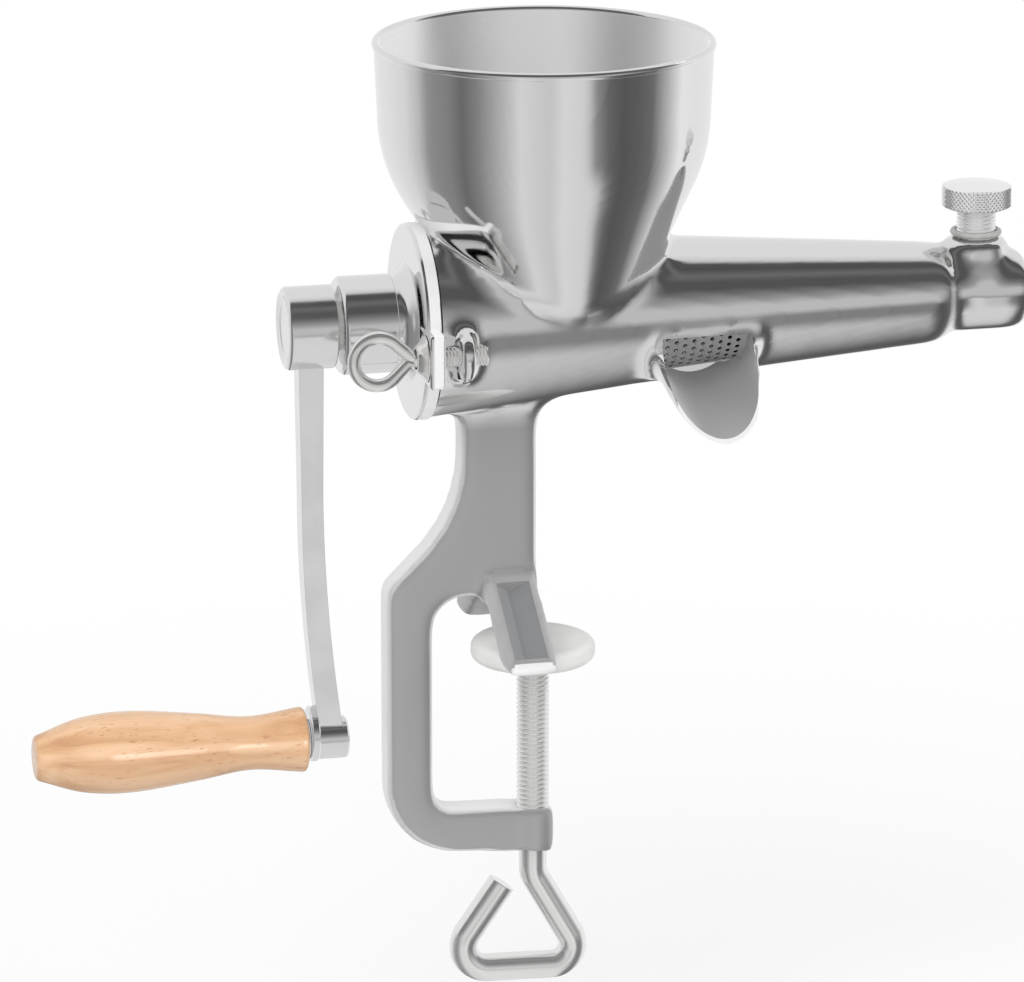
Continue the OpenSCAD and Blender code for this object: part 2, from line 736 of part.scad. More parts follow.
// Straight down from the hub, then swept in towards the body, with bevelled edges
function arm_x(z) = crank_x + arm_sweep
    * pow(max(0, arm_bend_z - z) / (arm_bend_z - crank_z), 2);
function arm_w(z) = z > arm_bend_z
    ? arm_mid_w + (arm_top_w - arm_mid_w) * (z - arm_bend_z) / (arm_top_z - arm_bend_z)
    : arm_mid_w + (arm_low_w - arm_mid_w) * (arm_bend_z - z) / (arm_bend_z - arm_foot_z);
function arm_section(z) = let (w = arm_w(z) / 2, d = arm_d / 2, e = arm_edge) [
    for (q = [[-w, e - d], [e - w, -d], [w - e, -d], [w, e - d],
        [w, d - e], [w - e, d], [e - w, d], [-w, d - e]]) [arm_x(z) + q[0], q[1], z]
];

module arm() {
    heights = [arm_top_z, for (i = [0 : arm_steps])
        arm_bend_z + (arm_foot_z - arm_bend_z) * i / arm_steps];
    last = len(heights) - 1;
    polyhedron(
        points = [for (z = heights) each arm_section(z)],
        faces = [
            [for (k = [7 : -1 : 0]) k],
            for (i = [0 : last - 1], k = [0 : 7])
                [i * 8 + k, i * 8 + (k + 1) % 8, (i + 1) * 8 + (k + 1) % 8, (i + 1) * 8 + k],
            [for (k = [0 : 7]) last * 8 + k]
        ]
    );
}

module crank_set_screw() color(STEEL)
    translate([crank_x, tang_side / 2 + face_gap, axis_z]) rotate([-90, 0, 0]) difference() {
        cylinder(h = screw_len, r = screw_r);
        translate([0, 0, screw_len - screw_hex]) cylinder(h = screw_hex + 1, r = screw_r / 2, $fn = 6);
    }

// Grip: radius at each share of its length from the crank end, joined by smooth curves
grip_shape = [
    [0, grip_mouth_r], [0.2, grip_waist_r], [0.4, (grip_waist_r + grip_full_r) / 2],
    [0.66, grip_full_r], [0.84, grip_full_r - 1.1], [1, grip_end_r]
];
grip_steps = 6;
grip_rim = 1.2;
function grip_slope(i) = let (last = len(grip_shape) - 1, a = grip_shape[max(i - 1, 0)],
    b = grip_shape[min(i + 1, last)]) (b[1] - a[1]) / (b[0] - a[0]);
function grip_r(i, u) = let (a = grip_shape[i], b = grip_shape[i + 1], h = b[0] - a[0])
    a[1] * (2 * u * u * u - 3 * u * u + 1) + grip_slope(i) * h * (u * u * u - 2 * u * u + u)
    + b[1] * (3 * u * u - 2 * u * u * u) + grip_slope(i + 1) * h * (u * u * u - u * u);
grip_points = [
    for (i = [0 : len(grip_shape) - 2], k = [0 : grip_steps - 1])
        let (u = k / grip_steps, share = grip_shape[i][0] + u * (grip_shape[i + 1][0] - grip_shape[i][0]))
            [grip_rim + share * (grip_len - 2 * grip_rim), grip_r(i, u)]
];

module grip() color(WOOD) translate([grip_right_x, 0, crank_z]) mirror([1, 0, 0]) difference() {
    turned_x(concat(
        [[0, 0], [0, grip_mouth_r - grip_rim]], grip_points,
        [[grip_len - grip_rim, grip_end_r], [grip_len, grip_end_r - grip_rim], [grip_len, 0]]
    ));
    bar_x(-1, grip_bore_len, bush_out_r + run_gap);
}

module grip_bush() color(STEEL) translate([0, 0, crank_z]) turned_x([
    [grip_right_x - bush_len, spindle_r + run_gap], [grip_right_x - bush_len, bush_out_r],
    [grip_right_x, bush_out_r], [grip_right_x, spindle_r + run_gap]
]);

module grip_spindle() color(STEEL) translate([0, 0, crank_z]) {
    collar_x = grip_right_x - bush_len - face_gap;
    turned_x([
        [collar_x - collar_len, 0], [collar_x - collar_len, collar_r], [collar_x, collar_r],
        [collar_x, spindle_r], [pin_boss_left_x + spindle_depth - face_gap, spindle_r],
        [pin_boss_left_x + spindle_depth - face_gap, 0]
    ]);
}

module grip_washer() color(STEEL) translate([0, 0, crank_z]) turned_x([
    [grip_washer_x, spindle_r + run_gap], [grip_washer_x, grip_washer_r],
    [grip_washer_x + grip_washer_t, grip_washer_r], [grip_washer_x + grip_washer_t, spindle_r + run_gap]
]);

// Pressure screw: low domed head on a short thread, over a seal ring that turns with it
module pressure_screw() color(STEEL) translate([screw_x, 0, 0]) turned_z([
    [press_tip_z, 0], [press_tip_z, press_thread_r], [knob_z, press_thread_r],
    [knob_z, knob_r - knob_edge], [knob_z + knob_edge, knob_r],
    [knob_z + knob_h - knob_dome - knob_edge, knob_r],
    [knob_z + knob_h - knob_dome, knob_r - knob_edge], [knob_z + knob_h, knob_r / 2],
    [knob_z + knob_h, 0]
]);

module pressure_seal() color(RUBBER)
    translate([screw_x, 0, boss_top_z + press_seal_r + run_gap])
        ring_z(press_thread_r + run_gap + press_seal_r, press_seal_r);

// Clamp screw: threaded rod whose plain end is bent into a three-sided handle
module clamp_screw() color(STEEL) {
    turned_z([
        [thread_low_z, 0], [thread_low_z, clamp_thread_r], [thread_top_z, clamp_thread_r],
        [thread_top_z, tip_r], [tip_top_z - button_t, tip_r], [tip_top_z - button_t, button_r],
        [tip_top_z, button_r], [tip_top_z, 0]
    ]);
    bent_rod(handle_path, handle_bends, rod_r);
}

// Pad: a cover over a steel disc that turns on the screw's button end, closed by a ring
module clamp_pad_disc() color(STEEL) {
    top = -cover_roof - face_gap;
    turned_z([
        [top, button_r + run_gap], [tip_top_z - button_t - button_play, button_r + run_gap],
        [tip_top_z - button_t - button_play, tip_r + run_gap], [top - disc_t, tip_r + run_gap],
        [top - disc_t, disc_r], [top, disc_r]
    ]);
}

module clamp_pad_cover() color(PALE) difference() {
    rotate_extrude() {
        translate([0, -pad_h]) square([pad_r - cover_edge, pad_h]);
        translate([0, cover_edge - pad_h]) square([pad_r, pad_h - 2 * cover_edge]);
        for (z = [cover_edge - pad_h, -cover_edge])
            translate([pad_r - cover_edge, z]) circle(r = cover_edge, $fn = 32);
    }
    translate([0, 0, -pad_h - 1]) cylinder(h = pad_h + 1 - cover_roof, r = disc_r + run_gap);
}

module clamp_pad_ring() color(STEEL) {
    top = -cover_roof - disc_t - 1.5 * face_gap;
    turned_z([
        [-pad_h + face_gap / 2, disc_r - 5], [-pad_h + face_gap / 2, disc_r], [top, disc_r],
        [top, disc_r - 5]
    ]);
}

body_casting();
strainer_screen();
end_cap();
cap_gasket();
bearing_bush();
shaft_seal();
front_eye_bolt();
front_eye_collar();
rear_eye_bolt();
rear_eye_collar();
auger();
thrust_washer();
crank_arm();
crank_set_screw();
grip();
grip_bush();
grip_spindle();
grip_washer();
pressure_screw();
pressure_seal();
clamp_screw();
clamp_pad_disc();
clamp_pad_cover();
clamp_pad_ring();
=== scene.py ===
import math

import bpy
import numpy
from mathutils import Matrix, Vector


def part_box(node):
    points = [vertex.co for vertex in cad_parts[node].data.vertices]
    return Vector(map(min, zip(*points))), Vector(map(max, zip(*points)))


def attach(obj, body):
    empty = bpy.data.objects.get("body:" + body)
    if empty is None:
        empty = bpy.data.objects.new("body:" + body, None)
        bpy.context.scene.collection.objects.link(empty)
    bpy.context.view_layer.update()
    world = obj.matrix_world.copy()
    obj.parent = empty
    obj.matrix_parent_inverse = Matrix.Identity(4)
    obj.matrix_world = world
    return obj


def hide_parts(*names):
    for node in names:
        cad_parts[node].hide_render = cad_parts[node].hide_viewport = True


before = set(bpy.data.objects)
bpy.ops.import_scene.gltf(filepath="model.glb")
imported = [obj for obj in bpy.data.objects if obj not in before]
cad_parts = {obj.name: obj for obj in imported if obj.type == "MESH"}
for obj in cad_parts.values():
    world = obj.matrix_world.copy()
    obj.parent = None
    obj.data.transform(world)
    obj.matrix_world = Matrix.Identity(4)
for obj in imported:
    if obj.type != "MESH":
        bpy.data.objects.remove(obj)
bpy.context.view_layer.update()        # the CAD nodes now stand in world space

# Camera. It stands to the crank's side and a little above, so far off that lines stay nearly
# parallel, and looks at the middle of the juicer.
MM = 0.001
camera_place = Vector((-398.5, -1697.8, 546.6)) * MM
camera_target = Vector((-6.5, 0, 46.93)) * MM
bpy.ops.object.camera_add(location=camera_place)
camera = bpy.context.object
camera.rotation_euler = (camera_target - camera_place).to_track_quat("-Z", "Y").to_euler()
camera.data.sensor_width = 36
camera.data.lens = 210.94
camera.data.clip_end = 20
bpy.context.scene.camera = camera
bpy.context.scene.view_settings.view_transform = "Standard"


# Studio. A white room for the eye. Polished metal shows instead the dark cards that a photographer
# stands beside it and hangs over it, so that its roundness can be seen.
def hex_colour(code):
    """Turns an sRGB hex colour into the linear colour that a shader takes."""
    channels = [int(code[start:start + 2], 16) / 255 for start in (1, 3, 5)]
    return tuple(level / 12.92 if level <= 0.04045 else ((level + 0.055) / 1.055) ** 2.4
                 for level in channels) + (1,)


def set_inputs(node, inputs):
    """Sets a node's inputs. A value is a number, a hex colour, another node's output, or a node,
    which stands for its first output in use."""
    for name, value in inputs.items():
        if isinstance(value, bpy.types.Node):
            value = next(output for output in value.outputs if output.enabled)
        if isinstance(value, bpy.types.NodeSocket):
            node.id_data.links.new(value, node.inputs[name])
        else:
            node.inputs[name].default_value = hex_colour(value) if isinstance(value, str) else value


def add_node(tree, kind, inputs=None, **settings):
    """Adds one shader node with its settings and inputs."""
    node = tree.nodes.new("ShaderNode" + kind)
    for name, value in settings.items():
        setattr(node, name, value)
    set_inputs(node, inputs or {})
    return node


def set_stops(ramp_node, stops):
    """Fills a colour ramp with stops, each a place and a hex colour or a grey level."""
    elements = ramp_node.color_ramp.elements
    while len(elements) > 1:
        elements.remove(elements[-1])
    for number, (place, colour) in enumerate(stops):
        stop = elements[0] if number == 0 else elements.new(place)
        stop.position = place
        stop.color = hex_colour(colour) if isinstance(colour, str) else (colour, colour, colour, 1)


towards_camera = (camera_place - camera_target).normalized()
back = Vector((towards_camera.x, towards_camera.y, 0)).normalized()
right = Vector((-back.y, back.x, 0))
# Light that falls on matt surfaces: even all round, and stronger from the front and above
AMBIENT = [(0.0, 0.4), (0.55, 0.43), (0.85, 0.72), (1.0, 0.84)]
# Grey level seen round the room, by degrees to the right of the camera
CARDS = [(-180, 0.9), (-134, 0.88), (-112, 0.81), (-97, 0.6), (-88, 0.34), (-80, 0.29), (-70, 0.26),
         (-58, 0.165), (-47, 0.256), (-36, 0.41), (-26, 0.575), (-16, 0.79), (-6, 0.73), (4, 0.68),
         (14, 0.82), (27, 0.76), (31, 0.62), (36, 0.3), (45, 0.15), (56, 0.106), (68, 0.127), (80, 0.17),
         (94, 0.525), (109, 0.95), (129, 0.91), (180, 0.9)]
# Near the floor the right card's near edge stands farther out, to these degrees
FOOT_EDGE = {27: 34, 31: 39, 36: 44, 45: 49}
LOW_CARDS = [(FOOT_EDGE.get(degrees, degrees), grey) for degrees, grey in CARDS]
# Grey level seen over the juicer, by degrees up from the front, over the top and down at the back
BANDS = [(-180, 0.85), (-24, 0.3), (-13, 0.34), (-5, 0.6), (8, 0.6), (19, 0.36), (30, 0.2), (40, 0.1),
         (52, 0.1), (63, 0.17), (76, 0.085), (86, 0.1), (93, 0.7), (104, 0.85), (180, 0.85)]
# Heights of sight, as sines, over which the low cards turn to cards and the cards to bands, and from
# which the bands hold all round
CHANGE_HEIGHTS = ((-0.74, -0.4), (-0.26, -0.18), (0.0, 0.35))
BARREL_FACES = 0.23      # the way the barrel faces, in radians to the right of the camera
BARREL_SPREAD = (0.17, 0.5)
TABLE_LIGHT = 0.72       # what metal shows to other metal

world = bpy.data.worlds.new("studio")
bpy.context.scene.world = world
world.use_nodes = True
tree = world.node_tree
tree.nodes.clear()
sight = add_node(tree, "TexCoord").outputs["Generated"]
# The cards fan out like a ball's meridians: halfway to the camera lies the way the metal faces
faced = add_node(tree, "VectorMath", {0: sight, 1: towards_camera}, operation="ADD")
faced_right = add_node(tree, "VectorMath", {0: faced, 1: right}, operation="DOT_PRODUCT")
faced_back = add_node(tree, "VectorMath", {0: faced, 1: back}, operation="DOT_PRODUCT")
around = add_node(tree, "Math", {0: faced_right, 1: faced_back}, operation="ARCTAN2")
axes = add_node(tree, "SeparateXYZ", {"Vector": sight})
forward = add_node(tree, "Math", {0: axes.outputs["Y"], 1: -1.0}, operation="MULTIPLY")
over = add_node(tree, "Math", {0: axes.outputs["Z"], 1: forward}, operation="ARCTAN2")
looks = []
for angle, full, stops in ((around, math.pi, LOW_CARDS), (around, math.pi, CARDS), (over, math.tau, BANDS)):
    share = add_node(tree, "Math", {0: angle, 1: 1 / full, 2: 0.5}, operation="MULTIPLY_ADD")
    looks.append(add_node(tree, "ValToRGB", {"Fac": share}))
    set_stops(looks[-1], [(degrees / 360 + 0.5, grey) for degrees, grey in stops])
low_to_cards, cards_to_bands, overhead = [
    add_node(tree, "MapRange", {"Value": axes.outputs["Z"], "From Min": low, "From Max": high},
             interpolation_type="SMOOTHSTEP") for low, high in CHANGE_HEIGHTS]
# At eye level the bands hold only where the barrel faces; past that the cards come down
off_barrel = add_node(tree, "Math", {0: around, 1: BARREL_FACES}, operation="SUBTRACT")
off_barrel = add_node(tree, "Math", {0: off_barrel}, operation="ABSOLUTE")
in_front = add_node(tree, "MapRange", {
    "Value": off_barrel, "From Min": BARREL_SPREAD[0], "From Max": BARREL_SPREAD[1],
    "To Min": 1.0, "To Max": 0.0})
kept = add_node(tree, "Math", {0: in_front, 1: overhead}, operation="MAXIMUM")
cards_to_bands = add_node(tree, "Math", {0: cards_to_bands, 1: kept}, operation="MULTIPLY")
room = looks[0]
for share, look in ((low_to_cards, looks[1]), (cards_to_bands, looks[2])):
    room = add_node(tree, "Mix", {"Factor": share, 6: room, 7: look}, data_type="RGBA")
path = add_node(tree, "LightPath")
again = add_node(tree, "Math", {0: path.outputs["Glossy Depth"], 1: 1.5}, operation="GREATER_THAN")
room = add_node(tree, "Mix", {"Factor": again, 6: room, 7: (TABLE_LIGHT,) * 3 + (1,)}, data_type="RGBA")
front_top = (back + Vector((0, 0, 1))).normalized()
toward = add_node(tree, "VectorMath", {0: sight, 1: front_top}, operation="DOT_PRODUCT")
share = add_node(tree, "Math", {0: toward, 1: 0.5, 2: 0.5}, operation="MULTIPLY_ADD")
ambient = add_node(tree, "ValToRGB", {"Fac": share})
set_stops(ambient, AMBIENT)
for ray, shown in (("Is Glossy Ray", room), ("Is Camera Ray", "#FFFFFF")):
    ambient = add_node(tree, "Mix", {"Factor": path.outputs[ray], 6: ambient, 7: shown}, data_type="RGBA")
sky = add_node(tree, "Background", {"Color": ambient})
add_node(tree, "OutputWorld", {"Surface": sky})


def add_shape(name, add_primitive, **settings):
    """Adds a primitive, selected alone, and names it."""
    bpy.ops.object.select_all(action="DESELECT")
    add_primitive(**settings)
    bpy.context.object.name = name
    return bpy.context.object


# The floor lies below the handle's lowest reach, as under a table's edge. Its white paper keeps the
# shadow near the juicer, glows white for the camera farther out, and isn't seen by polished metal.
CLAMP_TRAVEL, FLOOR_GAP = 40, 2
FLOOR_R, SHADE_R, GLOW_R, NEAR_GLOW = 0.9, 0.12, 0.6, 0.55
floor_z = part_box("clamp_screw")[0].z - (CLAMP_TRAVEL + FLOOR_GAP) * MM
floor = add_shape("floor", bpy.ops.mesh.primitive_circle_add, vertices=96, radius=FLOOR_R, fill_type="NGON",
                  location=(0, 0, floor_z))
paper = bpy.data.materials.new("white_paper_sweep")
paper.use_nodes = True
tree = paper.node_tree
tree.nodes.clear()
path = add_node(tree, "LightPath")
spot = add_node(tree, "TexCoord").outputs["Object"]
far = add_node(tree, "VectorMath", {0: spot}, operation="LENGTH")
fade = add_node(tree, "MapRange", {
    "Value": far, "From Min": SHADE_R, "From Max": GLOW_R, "To Min": NEAR_GLOW, "To Max": 1.0},
    interpolation_type="SMOOTHSTEP")
glow_share = add_node(tree, "Math", {0: fade, 1: path.outputs["Is Camera Ray"]}, operation="MULTIPLY")
matt = add_node(tree, "BsdfDiffuse", {"Color": (0.9, 0.9, 0.9, 1)})
glow = add_node(tree, "Emission", {"Color": (1, 1, 1, 1), "Strength": 1.0})
clear = add_node(tree, "BsdfTransparent")
lit = add_node(tree, "MixShader", {0: glow_share, 1: matt, 2: glow})
shown = add_node(tree, "MixShader", {0: path.outputs["Is Glossy Ray"], 1: lit, 2: clear})
add_node(tree, "OutputMaterial", {"Surface": shown})
floor.data.materials.append(paper)


def add_lamp(name, place, target, width, height, watts):
    """Adds a flat soft lamp, aimed at a target."""
    bpy.ops.object.light_add(type="AREA", location=place)
    lamp = bpy.context.object
    lamp.name = name
    lamp.rotation_euler = (target - Vector(place)).to_track_quat("-Z", "Y").to_euler()
    lamp.data.shape = "RECTANGLE"
    lamp.data.size, lamp.data.size_y = width, height
    lamp.data.energy = watts
    return lamp


# One broad soft box over the left shoulder and a weaker one on the right, neither seen by metal
add_lamp("key", (-0.9, -1.1, 1.5), camera_target, 1.4, 1.4, 26).visible_glossy = False
add_lamp("fill", (1.3, -0.8, 1.0), camera_target, 1.2, 1.2, 10).visible_glossy = False


# Body. One hollow stainless casting: hopper, barrel, outlet, spout, clamp frame and foot. Its joints
# are left as soft fillets. All but the frame is ground and polished bright; the frame's edges are painted
# paler, as their highlight.
def take(piece):
    """Selects one piece alone and makes it the one that operators work on."""
    bpy.ops.object.select_all(action="DESELECT")
    piece.select_set(True)
    bpy.context.view_layer.objects.active = piece


def open_mesh(piece):
    """Opens a piece in edit mode, with all of its mesh selected."""
    take(piece)
    bpy.ops.object.mode_set(mode="EDIT")
    bpy.ops.mesh.select_all(action="SELECT")


def close_mesh():
    """Leaves edit mode."""
    bpy.ops.object.mode_set(mode="OBJECT")


def apply_modifier(piece, kind, **settings):
    """Adds one modifier to a piece and applies it."""
    take(piece)
    modifier = piece.modifiers.new(kind.lower(), kind)
    for name, value in settings.items():
        setattr(modifier, name, value)
    bpy.ops.object.modifier_apply(modifier=modifier.name)


def pick_faces(piece, wanted):
    """Opens a piece in edit mode with only the wanted faces selected."""
    open_mesh(piece)
    bpy.ops.mesh.select_mode(type="FACE")
    bpy.ops.mesh.select_all(action="DESELECT")
    close_mesh()
    for face in piece.data.polygons:
        face.select = bool(wanted(face))
    bpy.ops.object.mode_set(mode="EDIT")


def pull(step, scale=(1, 1, 1), centre=(0, 0, 0)):
    """Extrudes what is selected by a step, and resizes it about a centre."""
    bpy.ops.mesh.extrude_region_move(TRANSFORM_OT_translate={"value": Vector(step) * MM})
    bpy.ops.transform.resize(value=scale, center_override=Vector(centre) * MM)


def turned(name, stations, centre=(0, 0, 0), axis="X", sides=96, tilt=0):
    """A solid turned on an axis: a disc, extruded and resized to each (place, radius) station."""
    place, radius = stations[0]
    piece = add_shape(name, bpy.ops.mesh.primitive_circle_add, vertices=sides, radius=radius * MM,
                      fill_type="NGON")
    open_mesh(piece)
    for next_place, next_radius in stations[1:]:
        ratio = next_radius / radius
        pull((0, 0, next_place - place), (ratio, ratio, 1))
        place, radius = next_place, next_radius
    bpy.ops.mesh.select_all(action="SELECT")
    bpy.ops.transform.translate(value=(0, 0, stations[0][0] * MM))
    bpy.ops.mesh.normals_make_consistent(inside=False)
    close_mesh()
    turns = {"X": (0, math.pi / 2, 0), "Y": (-math.pi / 2, 0, 0), "Z": (0, math.radians(tilt), 0)}
    piece.rotation_euler = turns[axis]
    piece.location = Vector(centre) * MM
    bpy.ops.object.transform_apply()
    return piece


def block(name, corner, far_corner):
    """A box between two opposite corners."""
    start, end = Vector(corner) * MM, Vector(far_corner) * MM
    sides = [abs(length) for length in end - start]
    piece = add_shape(name, bpy.ops.mesh.primitive_cube_add, size=1, location=(start + end) / 2, scale=sides)
    bpy.ops.object.transform_apply()
    return piece


def join(name, *pieces):
    """Joins pieces as one object, without cutting them."""
    take(pieces[0])
    for piece in pieces[1:]:
        piece.select_set(True)
    bpy.ops.object.join()
    pieces[0].name = name
    return pieces[0]


def copy_of(piece, name):
    """A copy of a piece with its own mesh."""
    twin = piece.copy()
    twin.data = piece.data.copy()
    twin.name = name
    bpy.context.scene.collection.objects.link(twin)
    return twin


def cut(piece, tool, operation="DIFFERENCE"):
    """Cuts a tool's shape out of a piece and removes the tool."""
    apply_modifier(piece, "BOOLEAN", object=tool, operation=operation, solver="MANIFOLD")
    bpy.data.objects.remove(tool)


def fuse(piece, other):
    """Fuses another piece into this one."""
    cut(piece, other, "UNION")


def slice_off(piece, point, normal):
    """Cuts off what lies past a plane and closes the cut."""
    open_mesh(piece)
    bpy.ops.mesh.bisect(plane_co=Vector(point) * MM, plane_no=normal, use_fill=True, clear_outer=True)
    close_mesh()


CREASE_LIFT = 0.05       # how far a crease's vertices stand off the middle of their neighbours


def soften(piece, passes, where, both=False):
    """Rounds off hollow creases in one place, or outer edges with them. Each pass is (edges reached
    out from the crease, rounds of smoothing)."""
    mesh = piece.data
    places = numpy.empty(len(mesh.vertices) * 3)
    mesh.vertices.foreach_get("co", places)
    places = places.reshape(-1, 3) / MM
    normals = numpy.empty(len(mesh.vertices) * 3)
    mesh.vertices.foreach_get("normal", normals)
    ends = numpy.empty(len(mesh.edges) * 2, int)
    mesh.edges.foreach_get("vertices", ends)
    first, second = ends.reshape(-1, 2).T
    total = numpy.zeros_like(places)
    count = numpy.zeros(len(places))
    for one, other in ((first, second), (second, first)):
        numpy.add.at(total, one, places[other])
        numpy.add.at(count, one, 1)
    lift = ((total / count[:, None] - places) * normals.reshape(-1, 3)).sum(1)
    crease = ((lift > CREASE_LIFT) | both & (lift < -CREASE_LIFT)) & where(*places.T)
    for reach, rounds in passes:
        near = crease.copy()
        for step in range(reach):
            grown = near.copy()
            grown[first] |= near[second]
            grown[second] |= near[first]
            near = grown
        group = piece.vertex_groups.new(name="crease")
        group.add(numpy.flatnonzero(near).tolist(), 1, "REPLACE")
        apply_modifier(piece, "SMOOTH", factor=0.5, iterations=rounds, vertex_group="crease")
        piece.vertex_groups.clear()


def new_material(name):
    """A new material: its node tree, its shader and the place on the piece that patterns read."""
    material = bpy.data.materials.new(name)
    material.use_nodes = True
    material.node_tree.nodes.clear()
    shader = add_node(material.node_tree, "BsdfPrincipled")
    add_node(material.node_tree, "OutputMaterial", {"Surface": shader})
    place = add_node(material.node_tree, "TexCoord").outputs["Object"]
    return material, material.node_tree, shader, place


HAIR_SPACING = 0.8


def worked_metal(name, colour, rough, cloud, wave, depth, grain=(1, 1, 1), hairs=0.0, metallic=1.0):
    """Metal ground by hand. Its roughness wanders between two values in clouds, the wheel leaves a
    slow wave of the given length and depth in mm, and the grit leaves hairlines along the grain.
    A blasted or fine-turned skin scatters light from its pits, so it is less than fully metallic."""
    material, tree, shader, place = new_material(name)
    clouds = add_node(tree, "TexNoise", {"Vector": place, "Scale": 1 / (cloud * MM), "Detail": 3.0})
    haze = add_node(tree, "MapRange", {
        "Value": clouds, "From Min": 0.35, "From Max": 0.65, "To Min": rough[0], "To Max": rough[1]})
    along = add_node(tree, "Mapping", {"Vector": place, "Scale": grain})
    lines = add_node(tree, "TexNoise", {"Vector": along, "Scale": 1 / (HAIR_SPACING * MM), "Detail": 2.0})
    scratch = add_node(tree, "Bump", {"Height": lines, "Distance": hairs * MM})
    waves = add_node(tree, "TexNoise", {"Vector": place, "Scale": 1 / (wave * MM), "Detail": 1.0})
    wheel = add_node(tree, "Bump", {"Height": waves, "Distance": depth * MM, "Normal": scratch})
    set_inputs(shader, {"Base Color": colour, "Metallic": metallic, "Roughness": haze, "Normal": wheel})
    return material


def finish_piece(piece, body_name, node_name, slot, *materials, angle=35):
    """Shades a piece, gives it its materials, and says what it rides on and stands for."""
    take(piece)
    bpy.ops.object.shade_smooth_by_angle(angle=math.radians(angle))
    apply_modifier(piece, "WEIGHTED_NORMAL", keep_sharp=True)
    piece.data.materials.clear()
    for material in materials:
        piece.data.materials.append(material)
    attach(piece, body_name)
    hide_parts(node_name)


def dress(material, *node_names):
    """Gives CAD nodes their finish."""
    for node_name in node_names:
        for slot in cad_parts[node_name].material_slots:
            slot.material = material


axis_z = 101.6
barrel_left_x, hopper_edge_x, shoulder_x, outlet_end_x = -33.8, 30.2, 126.2, 153.2
barrel_left_r, barrel_mid_r, barrel_right_r, outlet_r = 28.9, 22.6, 15.2, 12.3
hopper_x, bowl_z, bowl_r, upright, flare, hopper_wall = 3.2, 163.75, 49.65, 20.7, 0.95, 2.2
funnel_angle, funnel_lean = 29.5, 5
funnel_depth = (bowl_z - axis_z) / math.cos(math.radians(funnel_lean))
rim_z, bead_r = bowl_z + upright, 1.25
spout_x, spout_r, spout_wall, trough_z, spout_slope, spout_reach = 48.4, 15.8, 2.2, 96.1, 12, 45
spout_side_h, lip_wall, lip_z, window_z = 13.5, 0.9, 70.9, 97.5
neck_left_x, neck_right_x, neck_z, neck_fillet, frame_t = -23.4, 0.3, 67.5, 9.5, 12.5
screw_x, boss_top_z, boss_r = 138.2, 118.8, 9.6
eye_y, eye_z, lug_left_x, lug_right_x, lug_r, lug_root_y = 30, 97.8, -30.2, -24.8, 8.3, 20
foot_left_x, foot_w, foot_rib, foot_ridge_z, foot_reach, foot_tip_h = -16.6, 16, 8, 23, 38.5, 3.5
pocket_rim, pocket_depth = 2.8, 2.6
chamber_left_r, chamber_right_x, chamber_right_r, pulp_bore_r = 24.6, 118, 12.3, 8.2
gasket_seat_x, gasket_seat_r, screw_hole_r, eye_hole_r = -29.8, 25.5, 6.05, 3.05
BODY_VOXEL = 1.28
FINE_SIDES = 512         # sides of the forms that the skin is laid on


def bowl_stations(radius, first_turn, last_turn):
    """Part of a ball, between two turns up from its middle plane."""
    turns = [math.radians(first_turn + (last_turn - first_turn) * step / 30) for step in range(31)]
    return [(radius * math.sin(turn), radius * math.cos(turn)) for turn in turns]


def hopper_low(name, radius, depth, sides):
    """The funnel and the half ball that it touches all round, both leaning from the upright."""
    tip_r = radius / math.cos(math.radians(funnel_angle)) - depth * math.tan(math.radians(funnel_angle))
    stations = [(-depth, tip_r)] + bowl_stations(radius, -funnel_angle, 8)
    return turned(name, stations, (hopper_x, 0, bowl_z), axis="Z", sides=sides, tilt=-funnel_lean)


def hopper_high(name, radius, sides):
    """The top of the ball and the upright wall above it, which leans out a little."""
    stations = bowl_stations(radius, -20, 0) + [(upright, radius + flare), (upright + 4, radius + flare)]
    return turned(name, stations, (hopper_x, 0, bowl_z), axis="Z", sides=sides)


def trough(name, radius, left_at_lip=0.0):
    """A half-round trough, high sided, that runs forwards and down from the barrel's middle. Given
    the wall that it leaves at the lip, it widens to leave just that."""
    turn = math.radians(90 + spout_slope)
    along = Vector((0, -math.sin(turn), math.cos(turn)))
    up = Vector((0, math.cos(turn), math.sin(turn)))
    length = spout_reach + spout_r
    root = Vector((spout_x, 0, trough_z))
    piece = add_shape(name, bpy.ops.mesh.primitive_cylinder_add, vertices=128, radius=radius * MM,
                      depth=length * MM, location=(root + along * length / 2) * MM, rotation=(turn, 0, 0))
    bpy.ops.object.transform_apply()
    if left_at_lip:
        pick_faces(piece, lambda face: face.normal.dot(along) > 0.9)
        share = (spout_r - left_at_lip) / radius
        bpy.ops.transform.resize(value=(share,) * 3, center_override=(root + along * length) * MM)
        close_mesh()
    pick_faces(piece, lambda face: face.normal.dot(up) > 0.03 and abs(face.normal.dot(along)) < 0.5)
    pull(up * spout_side_h)
    close_mesh()
    return piece


def place_piece(piece, turn, point):
    """Turns a piece about its side-to-side axis and carries its origin to a point."""
    piece.rotation_euler = (turn, 0, 0)
    piece.location = Vector(point) * MM
    take(piece)
    bpy.ops.object.transform_apply()


def rounded(piece, edge, sharp=40, segments=3):
    """Rounds the sharp edges of a piece."""
    apply_modifier(piece, "BEVEL", width=edge * MM, segments=segments, limit_method="ANGLE",
                   angle_limit=math.radians(sharp))
    return piece


